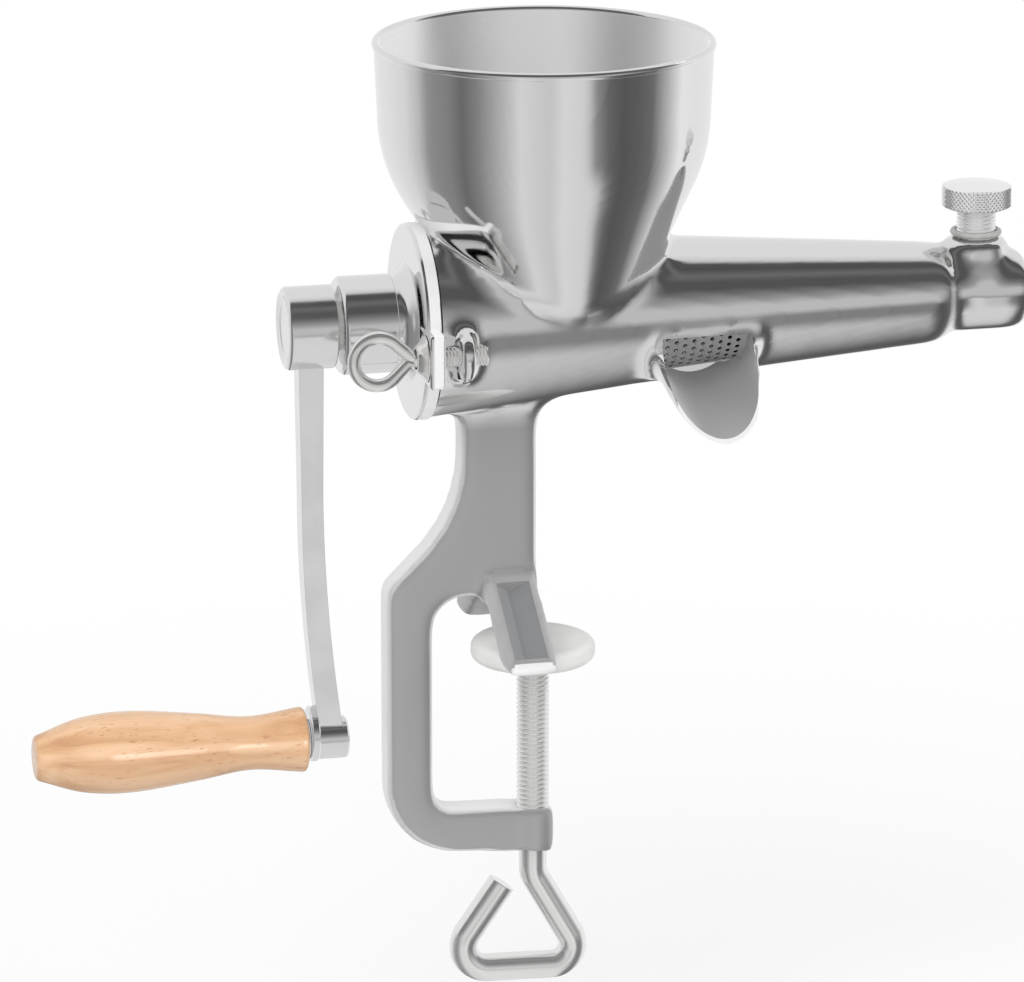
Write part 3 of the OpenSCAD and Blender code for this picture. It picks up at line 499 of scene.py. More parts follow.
barrel = turned("barrel", [
    (barrel_left_x - 4, barrel_left_r + 0.4), (hopper_edge_x, barrel_mid_r), (shoulder_x, barrel_right_r),
    (shoulder_x + 1.2, barrel_right_r - 1.6), (shoulder_x + 2.4, outlet_r), (outlet_end_x - 1.6, outlet_r),
    (outlet_end_x, outlet_r - 1.6)], (0, 0, axis_z), sides=FINE_SIDES)
low_bowl = hopper_low("low_bowl", bowl_r, funnel_depth, FINE_SIDES)
high_bowl = hopper_high("high_bowl", bowl_r, FINE_SIDES)
boss = turned("boss", [
    (axis_z - 5, outlet_r - 0.6), (axis_z + 5, outlet_r - 0.4), (axis_z + 9, outlet_r - 1.4),
    (axis_z + 12, boss_r), (boss_top_z - 1, boss_r), (boss_top_z, boss_r - 1)],
    (screw_x, 0, 0), axis="Z", sides=128)
spout = trough("spout", spout_r)
slice_off(spout, (spout_x, -spout_reach - 1, lip_z + 1), (0, -1, 1))
neck = block("neck", (neck_left_x, -frame_t / 2, neck_z - 8), (neck_right_x, frame_t / 2, neck_z))
pick_faces(neck, lambda face: face.normal.z > 0.5)
width, top_z = neck_right_x - neck_left_x, neck_z
for degrees in range(10, 91, 10):
    turn = math.radians(degrees)
    rise = neck_z + neck_fillet * math.sin(turn) - top_z
    new_width = neck_right_x - neck_left_x + neck_fillet * (1 - math.cos(turn))
    pull((0, 0, rise), (new_width / width, 1, 1), (neck_left_x, 0, 0))
    width, top_z = new_width, top_z + rise
pull((0, 0, neck_fillet))
close_mesh()
rounded(neck, 1.3, sharp=60)
lugs = []
for side in (-1, 1):
    lug = turned("lug", [(lug_left_x, lug_r), (lug_right_x, lug_r)], (0, side * eye_y, eye_z), sides=64)
    lugs.append(rounded(lug, 0.8))
    lugs.append(block("web", (lug_left_x, side * lug_root_y, eye_z - lug_r),
                      (lug_right_x, side * eye_y, eye_z + lug_r)))

# The clamp frame and the foot are the CAD body's own, cut off under the neck, with rounded edges.
# The foot's pockets are filled here and cut again, crisp, when the skin is smooth.
clamp = copy_of(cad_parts["body_casting"], "clamp")
clamp.parent = None
for key in list(clamp.keys()):
    del clamp[key]
open_mesh(clamp)
bpy.ops.mesh.remove_doubles(threshold=0.002 * MM)
close_mesh()
slice_off(clamp, (0, 0, neck_z - 4), (0, 0, 1))
open_mesh(clamp)
bpy.ops.mesh.dissolve_limited(angle_limit=math.radians(2))
close_mesh()
rounded(clamp, 1.2, sharp=50)
slope_fall, slope_run = foot_ridge_z - foot_tip_h, foot_reach - foot_rib
slope_turn, slope_length = math.atan2(slope_fall, slope_run), math.hypot(slope_fall, slope_run)
fillers, pocket_cuts = [], []
pocket_kinds = ((fillers, 1.5, -pocket_depth - 1, 0), (pocket_cuts, 0, -0.8, 12))
for side in (-1, 1):
    for pieces, grown, low_z, high_z in pocket_kinds:
        rim = pocket_rim - grown
        pocket = block("pocket", (foot_left_x + rim, side * rim, low_z),
                       (foot_left_x + foot_w - rim, side * (slope_length - rim), high_z))
        if pieces is pocket_cuts:
            pick_faces(pocket, lambda face: face.normal.z < -0.5)
            pull((0, 0, low_z - pocket_depth), (0.12, 1, 1), (foot_left_x + 0.45 * foot_w, 0, 0))
            close_mesh()
        place_piece(pocket, -side * slope_turn, (0, side * foot_rib, foot_ridge_z))
        pieces.append(pocket)

# One skin of even small faces over all of them, laid back on their own surfaces
body = join("body", barrel, low_bowl, high_bowl, boss, spout, neck, *lugs, clamp, *fillers)
pattern = copy_of(body, "pattern")
apply_modifier(body, "REMESH", mode="VOXEL", voxel_size=BODY_VOXEL * MM)
apply_modifier(body, "SHRINKWRAP", target=pattern, wrap_method="NEAREST_SURFACEPOINT")
bpy.data.objects.remove(pattern)
# Soft fillets: broad where the hopper meets the barrel, less under the barrel at the neck, small at
# all other joints and outer edges, and some at the spout's root
FINE_ROUNDS = ((3, 16), (2, 10))
soften(body, ((9, 60), (6, 50), (4, 40)), lambda x, y, z: (z > 108) & (z < 160) & (x < 70) & (x > -28))
soften(body, ((6, 40), (3, 30)), lambda x, y, z: (z > 66) & (z < 90) & (x < 16) & (abs(y) < 16))
soften(body, FINE_ROUNDS, lambda x, y, z: z > 66)
soften(body, FINE_ROUNDS, lambda x, y, z: (z < 120) | (x > 100), both=True)
soften(body, ((4, 40), (3, 30)), lambda x, y, z: (abs(x - spout_x) < 19) & (y < -13) & (z > 80), both=True)
apply_modifier(body, "SMOOTH", factor=0.5, iterations=5)
cut(body, turned("face_cut", [(barrel_left_x - 8, 32), (barrel_left_x, 32)], (0, 0, axis_z)))
slice_off(body, (0, 0, rim_z), (0, 0, 1))
for pocket in pocket_cuts:
    cut(body, pocket)

inner = bowl_r - hopper_wall
cut(body, hopper_high("high_cut", inner, 192))
cut(body, hopper_low("low_cut", inner, funnel_depth + 1, 192))
cut(body, turned("chamber_cut", [
    (barrel_left_x - 2.2, gasket_seat_r), (gasket_seat_x, gasket_seat_r), (gasket_seat_x, chamber_left_r),
    (chamber_right_x, chamber_right_r), (chamber_right_x, pulp_bore_r), (outlet_end_x + 2.8, pulp_bore_r)],
    (0, 0, axis_z), sides=128))
window = trough("window_cut", spout_r - spout_wall, left_at_lip=lip_wall)
slice_off(window, (0, 0, window_z), (0, 0, 1))
slice_off(window, (0, -spout_wall, 0), (0, 1, 0))
cut(body, window)
lip = block("lip_cut", (spout_x - 17, -21.8, 0), (spout_x + 17, 40, 40))
place_piece(lip, math.radians(45), (0, -spout_reach, lip_z))
slice_off(lip, (0, -23, 0), (0, 1, 0))
cut(body, lip)
cut(body, turned("screw_cut", [(axis_z, screw_hole_r), (130, screw_hole_r)], (screw_x, 0, 0), axis="Z",
                 sides=64))
for side in (-1, 1):
    cut(body, turned("eye_cut", [(-35, eye_hole_r), (-20, eye_hole_r)], (0, side * eye_y, eye_z), sides=32))
bead = add_shape("bead", bpy.ops.mesh.primitive_torus_add, major_radius=(bowl_r + flare - bead_r + 0.5) * MM,
                 minor_radius=bead_r * MM, major_segments=192, minor_segments=24,
                 location=Vector((hopper_x, 0, rim_z)) * MM)
bpy.ops.object.transform_apply()
fuse(body, bead)

# Polished cast stainless: a mirror with a slow wave and faint haze, where the wheel went. The frame
# below the barrel is only blasted: a soft even grey, with a paler colour painted on its edges as their
# highlight. Its mask says where.
POLISHED_STEEL, SATIN_STEEL, PAINTED_EDGE_HIGHLIGHT = "#E7E7E7", "#AFAFB0", "#EEEEEE"
BLASTED_BELOW, BLASTED_LEFT_OF = (68, 75), (20, 25)
polished_cast = worked_metal("polished_cast_stainless", POLISHED_STEEL, (0.05, 0.11), 22, 14, 0.035)
tree = polished_cast.node_tree
shader = tree.nodes["Principled BSDF"]
haze = shader.inputs["Roughness"].links[0].from_socket
place = add_node(tree, "TexCoord").outputs["Object"]
axes = add_node(tree, "SeparateXYZ", {"Vector": place})
below, beside = [
    add_node(tree, "MapRange", {
        "Value": axes.outputs[axis], "From Min": low * MM, "From Max": high * MM,
        "To Min": 1.0, "To Max": 0.0})
    for axis, (low, high) in (("Z", BLASTED_BELOW), ("X", BLASTED_LEFT_OF))]
web = add_node(tree, "Math", {0: beside, 1: below}, operation="MULTIPLY")
aside = add_node(tree, "Math", {0: axes.outputs["Y"]}, operation="ABSOLUTE")
# Off the flat, on the frame's edges, a paler colour is painted as the highlight that they catch
flat = add_node(tree, "MapRange", {"Value": aside, "From Min": 5.2 * MM, "From Max": 5.6 * MM})
satin = add_node(tree, "Mix", {"Factor": flat, 6: PAINTED_EDGE_HIGHLIGHT, 7: SATIN_STEEL}, data_type="RGBA")
colour = add_node(tree, "Mix", {"Factor": web, 6: POLISHED_STEEL, 7: satin}, data_type="RGBA")
rough = add_node(tree, "Mix", {"Factor": web, 2: haze, 3: 0.42})
metal_share = add_node(tree, "Mix", {"Factor": web, 2: 1.0, 3: 0.6})
set_inputs(shader, {"Base Color": colour, "Roughness": rough, "Metallic": metal_share})

# Turned satin stainless inside the hopper: fine rings round its axis, which spread the light
turned_satin = worked_metal("turned_satin_stainless", "#EEEEEE", (0.26, 0.34), 20, 30, 0.02,
                            grain=(0.4, 0.4, 8), hairs=0.006, metallic=0.75)
# Blasted satin stainless in the spout and on the foot: an even dull grey with no reflections
blasted_satin = worked_metal("blasted_satin_stainless", "#B9B9BA", (0.34, 0.44), 15, 20, 0.02, hairs=0.01,
                             metallic=0.55)
# Faced stainless edges, pale where a cutter or belt went over them, and the dark cast skin left in
# the foot's pockets, which no tool reaches
faced_edge = worked_metal("faced_stainless_edge", "#F0F0F0", (0.3, 0.4), 8, 12, 0.01, metallic=0.3)
as_cast = worked_metal("as_cast_stainless_skin", "#97989A", (0.4, 0.5), 5, 2, 0.03, metallic=0.5)
finish_piece(body, "root", "body_casting", "polished_steel", polished_cast, turned_satin, blasted_satin,
             faced_edge, as_cast, angle=28)
body.visible_glossy = False
INSIDE, BLASTED, FACED, AS_CAST = 1, 2, 3, 4
hopper_middle = Vector((hopper_x, 0, bowl_z))
for face in body.data.polygons:
    spot = face.center / MM
    out = spot - hopper_middle
    if 124 < spot.z < rim_z - 0.3:
        out.z = min(out.z, 0)
        if out.dot(face.normal) < 0 and out.length < bowl_r - 0.5:
            face.material_index = INSIDE
    aside = Vector((spot.x - spout_x, 0, spot.z - trough_z))
    in_spout = spot.y < -14 and abs(aside.x) < 15 and spot.z < window_z + 1
    if in_spout and aside.dot(face.normal) < 0 and abs(face.normal.y + 0.71) > 0.1:
        face.material_index = BLASTED
    if spot.y < -20 and abs(aside.x) < spout_r + 0.2 and face.normal.y < -0.6 and face.normal.z > 0.6:
        face.material_index = FACED
    out_y = abs(spot.y)
    below_slope = (spot.z - foot_ridge_z) * math.cos(slope_turn) + (out_y - foot_rib) * math.sin(slope_turn)
    on_foot = foot_left_x + 2 < spot.x < foot_left_x + foot_w - 2 and foot_rib < out_y < foot_reach - 2.2
    if on_foot and below_slope < -0.4 and spot.z > 1 and face.normal.z > 0:
        face.material_index = AS_CAST
    elif out_y > 7 and -1 < spot.z < foot_ridge_z + 2:
        face.material_index = FACED if out_y > foot_reach - 1.3 else BLASTED

# Strainer. A tapered sleeve of punched stainless sheet, rolled and welded, that lies in the barrel
# round the auger and shows through the window over the spout. Punching leaves the sheet satin.
punched_sheet = worked_metal("punched_stainless_sheet", "#B2B2B2", (0.2, 0.3), 12, 9, 0.02,
                             grain=(0.3, 1, 1), hairs=0.01)
dress(punched_sheet, "strainer_screen")

# End cap. A stainless casting, turned, with an ear at each side for the eye bolts. It carries the
# auger's bearing and is drawn against the barrel's end. Its face is polished, its rim only faced.
ear_left_x, cap_left_x, cap_right_x, spigot_end_x = -39.4, -38.9, -34.3, -30.2
ear_root_y, ear_end_y, ear_half_h, ear_hole_r, cap_r = 20.5, 36, 8.3, 3.3, 29.5
cap_boss_left_x, cap_boss_r, groove_r, spigot_r = -60.1, 14.75, 13.85, 25.45
bearing_r, cap_bore_r = 9.55, 7.55
cap = turned("end_cap_cast", [
    (cap_boss_left_x, 13.35), (-59.9, 13.9), (-59.3, 14.5), (-58.7, cap_boss_r), (-44.1, cap_boss_r),
    (-43.9, 14.6), (-43.9, groove_r), (-42.9, groove_r), (-42.2, 14.0), (-41.2, 14.8), (-40.0, 16.4),
    (cap_left_x, 17.95), (cap_left_x, 28.3), (-38.75, 28.85), (-38.4, 29.3), (-37.7, cap_r), (-34.5, cap_r),
    (cap_right_x, 29.3), (cap_right_x, spigot_r), (spigot_end_x, spigot_r)], (0, 0, axis_z), sides=192)
for side in (-1, 1):
    ear = block("ear", (ear_left_x, side * ear_root_y, eye_z - ear_half_h),
                (cap_right_x, side * ear_end_y, eye_z + ear_half_h))
    fuse(cap, rounded(ear, 1.3, segments=4))
cut(cap, turned("cap_bore", [(-62, cap_bore_r), (-58.6, cap_bore_r), (-58.6, bearing_r), (-33.2, bearing_r),
                             (-33.2, 10.2), (-29, 10.2)], (0, 0, axis_z)))
for side in (-1, 1):
    cut(cap, turned("ear_hole", [(-41, ear_hole_r), (-33, ear_hole_r)], (0, side * eye_y, eye_z), sides=32))
polished_turned = worked_metal("polished_turned_stainless", "#E7E7E7", (0.05, 0.11), 16, 18, 0.03)
finish_piece(cap, "root", "end_cap", "polished_steel", polished_turned, faced_edge)
for face in cap.data.polygons:
    spot = face.center / MM
    off_axis = math.hypot(spot.y, spot.z - axis_z)
    if spot.x > cap_left_x + 0.9 and off_axis > cap_r - 0.2 and abs(face.normal.x) < 0.3:
        face.material_index = 1

# Bearing and seals. A pressed bush of sintered bronze lines the cap's bore: dull gold with fine
# pores. Moulded black rubber rings, matt with a faint bloom, keep the juice in.
bronze = worked_metal("sintered_bronze", "#B48A57", (0.3, 0.42), 6, 3, 0.02, hairs=0.01)
dress(bronze, "bearing_bush", "thrust_washer")
seal_rubber, tree, shader, place = new_material("moulded_black_rubber")
pores = add_node(tree, "TexNoise", {"Vector": place, "Scale": 1 / (0.5 * MM), "Detail": 3.0})
bloom = add_node(tree, "MapRange", {"Value": pores, "To Min": 0.5, "To Max": 0.75})
skin = add_node(tree, "Bump", {"Height": pores, "Distance": 0.03 * MM})
set_inputs(shader, {"Base Color": "#1D1D1E", "Roughness": bloom, "Normal": skin})
dress(seal_rubber, "cap_gasket", "shaft_seal")


# Eye bolts. Steel wire bent to a loop whose two sides meet at the shank, with an M6 thread cut on
# the long end, and a flared collar that beds on the cap's ear. All bright nickel plated.
def line(name, points):
    """A line of edges through points, drawn by pulling one vertex from each to the next."""
    piece = add_shape(name, bpy.ops.mesh.primitive_plane_add, size=1)
    open_mesh(piece)
    bpy.ops.mesh.select_mode(type="VERT")
    bpy.ops.mesh.select_all(action="SELECT")
    bpy.ops.mesh.merge(type="CENTER")
    bpy.ops.mesh.select_all(action="SELECT")
    bpy.ops.transform.translate(value=Vector(points[0]) * MM)
    for point, next_point in zip(points, points[1:]):
        step = (Vector(next_point) - Vector(point)) * MM
        bpy.ops.mesh.extrude_vertices_move(TRANSFORM_OT_translate={"value": step})
    close_mesh()
    return piece


def close_seams(piece):
    """Merges the points that meet and turns all faces outwards."""
    open_mesh(piece)
    bpy.ops.mesh.remove_doubles(threshold=0.001 * MM)
    bpy.ops.mesh.normals_make_consistent(inside=False)
    close_mesh()


def rod(name, points, radius):
    """A round rod along a line of points."""
    piece = line(name, points)
    bpy.ops.object.convert(target="CURVE")
    piece = bpy.context.object
    piece.data.bevel_depth = radius * MM
    piece.data.bevel_resolution = 6
    piece.data.use_fill_caps = True
    bpy.ops.object.convert(target="MESH")
    close_seams(bpy.context.object)
    return bpy.context.object


def thread(name, core_r, crest_r, pitch, low, high, centre=(0, 0, 0), axis="Z", steps=36):
    """A vee thread: one tooth's outline, wound round by the screw modifier, cut level at both ends."""
    piece = line(name, [(core_r, 0, 0), (crest_r, 0, 0.42 * pitch), (crest_r, 0, 0.58 * pitch),
                        (core_r, 0, pitch)])
    turns = math.ceil((high - low) / pitch) + 3
    apply_modifier(piece, "SCREW", axis="Z", angle=math.tau, steps=steps, render_steps=steps,
                   screw_offset=pitch * MM, iterations=turns, use_merge_vertices=False)
    close_seams(piece)
    slice_off(piece, (0, 0, 1.5 * pitch), (0, 0, -1))
    slice_off(piece, (0, 0, 1.5 * pitch + high - low), (0, 0, 1))
    open_mesh(piece)
    bpy.ops.transform.translate(value=(0, 0, (low - 1.5 * pitch) * MM))
    bpy.ops.mesh.normals_make_consistent(inside=False)
    close_mesh()
    if axis == "X":
        piece.rotation_euler = (0, math.pi / 2, 0)
    piece.location = Vector(centre) * MM
    bpy.ops.object.transform_apply()
    return piece


def round_the_ring(middle_x, ring_r, meet_x):
    """Points round an eye: out from the shank, round the ring, and back to the shank."""
    reach = math.degrees(math.acos(ring_r / (meet_x - middle_x)))
    turns = [math.radians(reach + (360 - 2 * reach) * step / 40) for step in range(41)]
    return [(middle_x + ring_r * math.cos(turn), 0, ring_r * math.sin(turn)) for turn in turns]


eye_x, eye_ring_r, eye_wire_r, eye_thread_r, eye_tip_x = -53.8, 7.25, 1.95, 3, -21
collar_left_x, collar_right_x = -42.5, -39.5
loop = round_the_ring(eye_x, eye_ring_r, collar_left_x - 1.6)
eye = rod("eye_loop", [(collar_left_x + 2, 0, 0.3), (collar_left_x - 1.3, 0, 0.9)] + loop
          + [(collar_left_x - 2.3, 0, -1.1), (collar_left_x - 0.6, 0, -1.5)], eye_wire_r)
shank = turned("shank", [(collar_left_x - 0.8, 2.0), (collar_left_x + 0.4, 2.6), (-38, 2.6)], sides=32)
tip = thread("eye_thread", 2.5, eye_thread_r, 1.0, -38.2, eye_tip_x, axis="X")
eye = join("eye_bolt", eye, shank, tip)
collar = turned("collar", [
    (collar_right_x, 3.05), (collar_left_x, 3.05), (collar_left_x, 3.7), (-42.3, 3.95), (-41.6, 4.5),
    (-40.9, 5.3), (-40.2, 6.5), (-39.9, 6.95), (-39.6, 7.0), (collar_right_x, 6.85)])
# Bright nickel plate: a clear reflection, a little softened by the wire's drawn skin
bright_plate = worked_metal("bright_nickel_plate", "#E8E7E6", (0.11, 0.2), 8, 5, 0.012, metallic=0.9)
for side, name in ((-1, "front"), (1, "rear")):
    for piece, kind in ((eye, "eye_bolt"), (collar, "eye_collar")):
        twin = copy_of(piece, name + "_" + kind + "_plated")
        twin.location = Vector((0, side * eye_y, eye_z)) * MM
        take(twin)
        bpy.ops.object.transform_apply()
        body_name = name + ("_eye" if kind == "eye_bolt" else "_collar")
        finish_piece(twin, body_name, name + "_" + kind, "bright_steel", bright_plate, angle=40)
for piece in (eye, collar):
    bpy.data.objects.remove(piece)

# Auger. A stainless casting with a screw flight on a tapered shaft, square at its outer end. The
# flight is ground, which leaves it satin, and a bronze washer takes its push against the cap.
cast_satin = worked_metal("ground_cast_stainless", "#D0D0CE", (0.16, 0.26), 10, 12, 0.03, hairs=0.008)
dress(cast_satin, "auger")

# Crank arm. A stainless casting, polished over all: a round hub on the auger's square end, a bar that
# sweeps in towards the body, and a small boss that takes the grip's spindle. A set screw holds it.
hub_left_x, hub_right_x, hub_r, crank_x, crank_z = -76.4, -61.6, 12.5, -68.65, -27.1
arm_top_z, arm_bend_z, arm_foot_z, arm_sweep = 93.6, 50.1, -25.1, 5.65
arm_top_w, arm_mid_w, arm_low_w, arm_d = 7.6, 6.6, 7.2, 8
socket_side, socket_left_x = 9.2, -73.4
arm = turned("crank_arm_cast", [
    (hub_left_x + 0.7, hub_r - 4.2), (hub_left_x + 0.5, hub_r - 3.0), (hub_left_x, hub_r - 1.9),
    (hub_left_x + 0.1, hub_r - 1.1), (hub_left_x + 0.5, hub_r - 0.4), (hub_left_x + 1.2, hub_r),
    (hub_right_x - 0.5, hub_r), (hub_right_x - 0.15, hub_r - 0.15), (hub_right_x, hub_r - 0.5)],
    (0, 0, axis_z), sides=160)
bar = block("bar", (crank_x - arm_top_w / 2, -arm_d / 2, arm_top_z - 0.1),
            (crank_x + arm_top_w / 2, arm_d / 2, arm_top_z))
pick_faces(bar, lambda face: face.normal.z < -0.5)
BAR_STEPS = 40
here_z, here_x, here_w = arm_top_z - 0.1, crank_x, arm_top_w
for step in range(1, BAR_STEPS + 1):
    next_z = arm_top_z - 0.1 + (arm_foot_z - arm_top_z + 0.1) * step / BAR_STEPS
    bent = max(0, arm_bend_z - next_z) / (arm_bend_z - crank_z)
    next_x = crank_x + arm_sweep * bent ** 2
    end_z, end_w = (arm_top_z, arm_top_w) if next_z > arm_bend_z else (arm_foot_z, arm_low_w)
    next_w = arm_mid_w + (end_w - arm_mid_w) * (next_z - arm_bend_z) / (end_z - arm_bend_z)
    pull((next_x - here_x, 0, next_z - here_z), (next_w / here_w, 1, 1), (next_x, 0, 0))
    here_z, here_x, here_w = next_z, next_x, next_w
close_mesh()
rounded(bar, 1.4, sharp=60, segments=4)
fuse(arm, bar)
fuse(arm, turned("pin_boss", [(-70, 5.6), (-69.4, 6.4), (-58.8, 6.4), (-58.2, 5.8)], (0, 0, crank_z)))
fuse(arm, turned("pin_flare", [(-70, 7.6), (-69.6, 8.4), (-67.9, 8.4), (-67.5, 8.0)], (0, 0, crank_z + 1.6)))
cut(arm, block("socket_cut", (socket_left_x, -socket_side / 2, axis_z - socket_side / 2),
               (-60, socket_side / 2, axis_z + socket_side / 2)))
cut(arm, turned("screw_hole", [(0.5, 2.95), (14, 2.95)], (crank_x, 0, axis_z), axis="Y", sides=32))
cut(arm, turned("spindle_hole", [(-71, 3.05), (-61, 3.05)], (0, 0, crank_z), sides=32))
polished_arm = worked_metal("polished_arm_stainless", "#E7E7E7", (0.1, 0.2), 14, 16, 0.03)
finish_piece(arm, "crank", "crank_arm", "polished_steel", polished_arm)
dress(bright_plate, "crank_set_screw", "grip_spindle", "grip_washer", "grip_bush")

# Grip. Turned from one piece of beech, full at the far end and waisted near the crank, and
# varnished. It spins on a steel spindle in a pressed-in bush.
grip_left_x, grip_right_x, grip_rim, bore_r, bore_len = -153.7, -71.0, 1.2, 5.05, 26.5
GRIP_SHAPE = [(0, 9.9), (0.2, 8.15), (0.4, 10.225), (0.66, 12.3), (0.84, 11.2), (1, 7)]


def grip_radius(share):
    """Radius at a share of the grip's length, on a smooth curve through the measured ones."""
    last = len(GRIP_SHAPE) - 1
    number = max(index for index in range(last) if GRIP_SHAPE[index][0] <= share)
    slopes = []
    for index in (number, number + 1):
        before, after = GRIP_SHAPE[max(index - 1, 0)], GRIP_SHAPE[min(index + 1, last)]
        slopes.append((after[1] - before[1]) / (after[0] - before[0]))
    (low, low_r), (high, high_r) = GRIP_SHAPE[number], GRIP_SHAPE[number + 1]
    part = (share - low) / (high - low)
    square, cube = part ** 2, part ** 3
    return (low_r * (2 * cube - 3 * square + 1) + slopes[0] * (high - low) * (cube - 2 * square + part)
            + high_r * (3 * square - 2 * cube) + slopes[1] * (high - low) * (cube - square))


span = grip_right_x - grip_left_x - 2 * grip_rim
outline = [(grip_right_x - grip_rim - span * step / 80, grip_radius(step / 80)) for step in range(81)]
grip = turned("grip_beech", [
    (grip_right_x - bore_len, bore_r), (grip_right_x, bore_r), (grip_right_x, 8.7),
    (grip_right_x - 0.25, 9.3), (grip_right_x - 0.65, 9.75)] + outline + [
    (grip_left_x + 0.7, 6.75), (grip_left_x + 0.25, 6.3), (grip_left_x, 5.6), (grip_left_x, 2)],
    (0, 0, crank_z), sides=128)

# Varnished beech: warm straw wood, slow bands along the grain, short dark flecks a few millimetres
# long, and a clear glossy coat.
beech, tree, shader, place = new_material("varnished_beech")
along = add_node(tree, "Mapping", {"Vector": place, "Rotation": (0, 0.06, 0.05), "Scale": (0.06, 1, 1)})
bands = add_node(tree, "TexNoise", {"Vector": along, "Scale": 1 / (5 * MM), "Detail": 4.0, "Distortion": 0.6})
wood = add_node(tree, "ValToRGB", {"Fac": bands})
set_stops(wood, [(0.3, "#BF9069"), (0.45, "#CFA37A"), (0.6, "#DAB18B"), (0.8, "#E3BF9C")])
short = add_node(tree, "Mapping", {"Vector": place, "Rotation": (0, 0.1, 0.08), "Scale": (0.16, 1, 1)})
pores = add_node(tree, "TexNoise", {"Vector": short, "Scale": 1 / (0.55 * MM), "Detail": 1.0})
patch = add_node(tree, "TexNoise", {"Vector": place, "Scale": 1 / (14 * MM), "Detail": 1.0})
where_flecked = add_node(tree, "MapRange", {"Value": patch, "From Min": 0.4, "From Max": 0.6})
fleck = add_node(tree, "MapRange", {"Value": pores, "From Min": 0.62, "From Max": 0.72})
fleck = add_node(tree, "Math", {0: fleck, 1: where_flecked}, operation="MULTIPLY")
fleck = add_node(tree, "Math", {0: fleck, 1: 0.65}, operation="MULTIPLY")
grained = add_node(tree, "Mix", {"Factor": fleck, 6: wood, 7: "#9C6536"}, data_type="RGBA")
fibre = add_node(tree, "Bump", {"Height": bands, "Distance": 0.04 * MM})
set_inputs(shader, {"Base Color": grained, "Roughness": 0.45, "Coat Weight": 0.7, "Coat Roughness": 0.12,
                    "Normal": fibre})
finish_piece(grip, "grip", "grip", "beech", beech)
grip.visible_glossy = False

# A slim strip light that only the varnish shows, as the long glint on its middle
varnish = bpy.data.collections.new("varnish")
varnish.objects.link(grip)
grip_middle = Vector(((grip_left_x + grip_right_x) / 2, 0, crank_z)) * MM
glint = add_lamp("glint", grip_middle + Vector((0.27, -1.16, 0.08)), grip_middle, 0.5, 0.3, 3)
glint.visible_diffuse = False
glint.light_linking.receiver_collection = varnish

# Pressure screw. Turned from bright bar: a plain domed top, a diamond-knurled rim and an M12 fine
# thread. It presses on the auger's end and sets how dry the pulp comes out.
knob_z, knob_h, knob_r, knob_edge = 127.6, 7.5, 10.6, 0.9
KNURL_ROWS, KNURL_SIDES, KNURL_DEPTH = 8, 92, 0.042
side_low, side_high = knob_z + 0.4, knob_z + knob_h - 1.1
knurl_r = knob_r / (1 + KNURL_DEPTH)
rows = [(side_low + (side_high - side_low) * row / KNURL_ROWS, knurl_r) for row in range(KNURL_ROWS + 1)]
dome = [(knob_z + knob_h - 0.8 * share ** 2, (knob_r - knob_edge) * share)
        for share in (0.98, 0.9, 0.8, 0.68, 0.55, 0.4, 0.25, 0.12)]
knob = turned("knob", [(knob_z, 5), (knob_z, knob_r - knob_edge), (knob_z + 0.2, knob_r - 0.7)] + rows
              + [(side_high + 0.15, knob_r - 0.6)] + dome, (screw_x, 0, 0), axis="Z", sides=KNURL_SIDES)
open_mesh(knob)
bpy.ops.mesh.select_mode(type="VERT")
bpy.ops.mesh.select_all(action="DESELECT")
close_mesh()
row_h = (side_high - side_low) / KNURL_ROWS
for vertex in knob.data.vertices:
    spot = vertex.co / MM
    row = (spot.z - side_low) / row_h
    turn = math.atan2(spot.y, spot.x - screw_x) / math.tau * KNURL_SIDES
    on_side = -0.1 < row < KNURL_ROWS + 0.1 and math.hypot(spot.x - screw_x, spot.y) > knurl_r - 0.05
    vertex.select = on_side and (round(row) + round(turn)) % 2 == 0
bpy.ops.object.mode_set(mode="EDIT")
bpy.ops.transform.resize(value=(1 + KNURL_DEPTH, 1 + KNURL_DEPTH, 1),
                         center_override=(screw_x * MM, 0, 0))
bpy.ops.mesh.select_all(action="SELECT")
bpy.ops.mesh.quads_convert_to_tris(quad_method="SHORTEST_DIAGONAL")
close_mesh()
screw_thread = thread("screw_thread", 5.35, 6, 1.25, 110.9, knob_z - 0.4, (screw_x, 0, 0), steps=48)
screw_core = turned("screw_core", [(110.2, 4.9), (110.7, 5.4), (knob_z - 1.0, 5.4), (knob_z + 0.2, 5.4)],
                    (screw_x, 0, 0), axis="Z", sides=64)
pressure_screw = join("pressure_screw_turned", knob, screw_thread, screw_core)
# Bright turned bar: fine tool lines that soften what it reflects
bright_bar = worked_metal("bright_turned_bar", "#F2F2F2", (0.1, 0.18), 6, 5, 0.012, hairs=0.004, metallic=0.8)
finish_piece(pressure_screw, "pressure_screw", "pressure_screw", "bright_steel", bright_bar, angle=12)
# Moulded silicone: pale and milky, with dust in it that clouds its colour
silicone, tree, shader, place = new_material("moulded_clear_silicone")
dust = add_node(tree, "TexNoise", {"Vector": place, "Scale": 1 / (1.2 * MM), "Detail": 2.0})
clouded = add_node(tree, "ValToRGB", {"Fac": dust})
set_stops(clouded, [(0.3, "#B9B9B6"), (0.7, "#D0D0CD")])
set_inputs(shader, {"Base Color": clouded, "Roughness": 0.3, "Transmission Weight": 0.35})
dress(silicone, "pressure_seal")

# Clamp screw. A plated steel rod with an M10 thread. Its plain end is bent by hand tools into a
# three-sided handle, and its top is riveted into the pad.
HANDLE_RUN = [(0, -65.7), (0, -75.5), (17.5, -106.4), (-28.5, -105.1), (-9.7, -78.1)]
HANDLE_BENDS = [0, 8, 6.5, 7.5, 0]
rod_r, clamp_thread_r = 4.25, 5


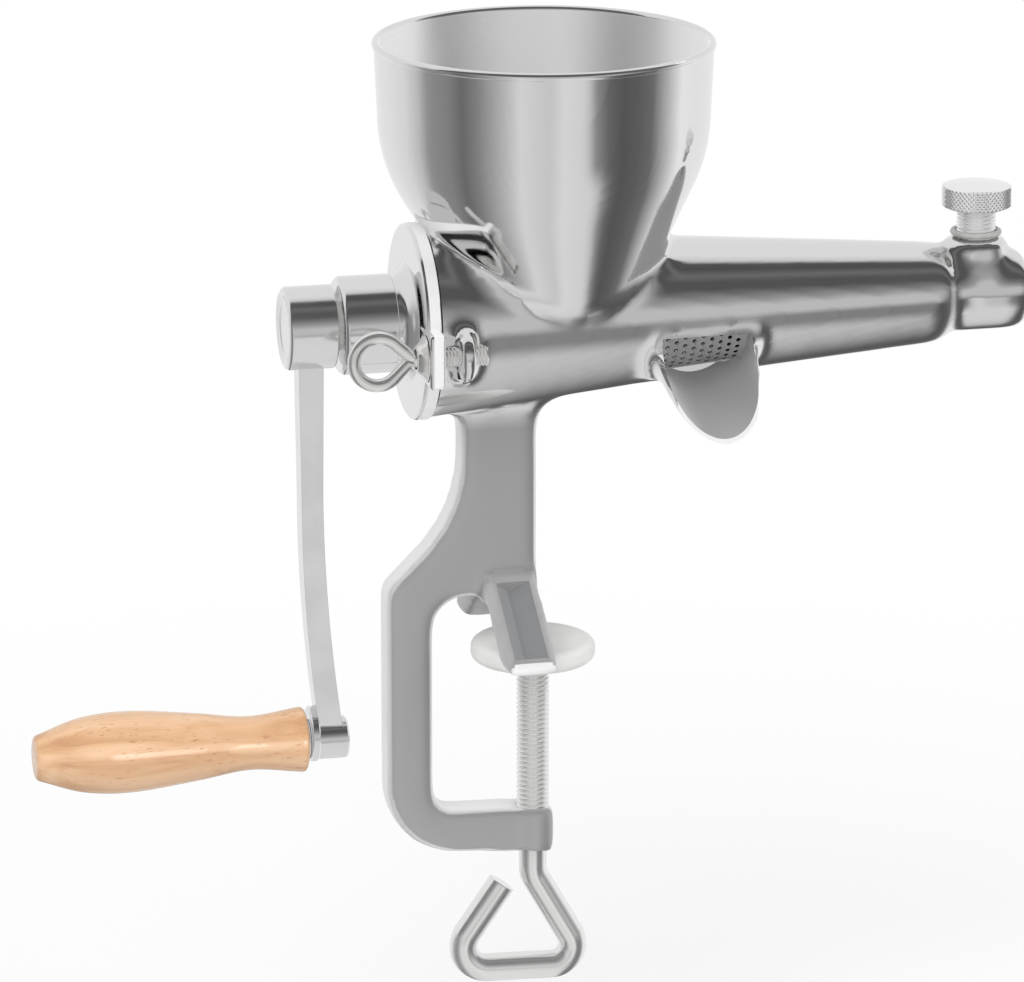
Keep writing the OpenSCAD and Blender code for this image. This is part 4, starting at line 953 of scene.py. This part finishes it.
def bent_run(corners, bends):
    """Points along straight runs, with a round bend at each corner."""
    points = [Vector(corners[0])]
    for index in range(1, len(corners) - 1):
        before, corner, after = (Vector(corners[index + shift]) for shift in (-1, 0, 1))
        come, go = (corner - before).normalized(), (after - corner).normalized()
        turn = math.atan2(come.x * go.y - come.y * go.x, come.dot(go))
        start = corner - come * bends[index] * math.tan(abs(turn) / 2)
        middle = start + Vector((-come.y, come.x)) * math.copysign(bends[index], turn)
        points += [middle + Matrix.Rotation(turn * step / 14, 2) @ (start - middle) for step in range(15)]
    return points + [Vector(corners[-1])]


handle = rod("handle", [(point.x, 0, point.y) for point in bent_run(HANDLE_RUN, HANDLE_BENDS)], rod_r)
rounded(handle, 0.7, sharp=60)
screw_rod = thread("clamp_thread", 4.2, clamp_thread_r, 1.5, -66.4, -8.3)
rod_core = turned("rod_core", [
    (-66.7, 4.0), (-66.2, rod_r), (-8.6, rod_r), (-8, 3.8), (-8, 3), (-3.6, 3), (-3.6, 4.6), (-2.6, 4.6)],
    axis="Z", sides=64)
clamp_screw = join("clamp_screw_bent", handle, screw_rod, rod_core)
# Bright zinc plate: paler and softer than nickel, with hardly a reflection to be read
zinc_plate = worked_metal("bright_zinc_plate", "#EEEEED", (0.15, 0.24), 8, 5, 0.012, metallic=0.88)
finish_piece(clamp_screw, "clamp_screw", "clamp_screw", "bright_steel", zinc_plate, angle=40)

# Clamp pad. A moulded pale plastic cover over a steel disc, closed by a steel ring, so that the
# table isn't marked.
pad_r, pad_h, cover_edge, recess_r, recess_top = 19, 6.4, 2.6, 14.05, -2.4
rim_turns = [math.radians(-90 + 15 * step) for step in range(13)]
cover_side = [((-cover_edge if turn > 0 else cover_edge - pad_h) + cover_edge * math.sin(turn),
               pad_r - cover_edge + cover_edge * math.cos(turn)) for turn in rim_turns]
cover = turned("pad_cover_moulded", [(recess_top, 3), (recess_top, recess_r), (-pad_h, recess_r)] + cover_side
               + [(0, 3)], axis="Z", sides=128)
# Moulded polyethylene: off-white, with a faint orange peel from the mould
pad_plastic, tree, shader, place = new_material("moulded_white_polyethylene")
speck = add_node(tree, "TexNoise", {"Vector": place, "Scale": 1 / (9 * MM), "Detail": 3.0})
shade = add_node(tree, "ValToRGB", {"Fac": speck})
set_stops(shade, [(0.3, "#D6D6D4"), (0.7, "#E0E0DE")])
orange_peel = add_node(tree, "TexNoise", {"Vector": place, "Scale": 1 / (0.7 * MM), "Detail": 2.0})
skin = add_node(tree, "Bump", {"Height": orange_peel, "Distance": 0.02 * MM})
set_inputs(shader, {"Base Color": shade, "Roughness": 0.42, "IOR": 1.5, "Normal": skin})
finish_piece(cover, "clamp_pad", "clamp_pad_cover", "pad_plastic", pad_plastic)
dress(bright_plate, "clamp_pad_disc", "clamp_pad_ring")
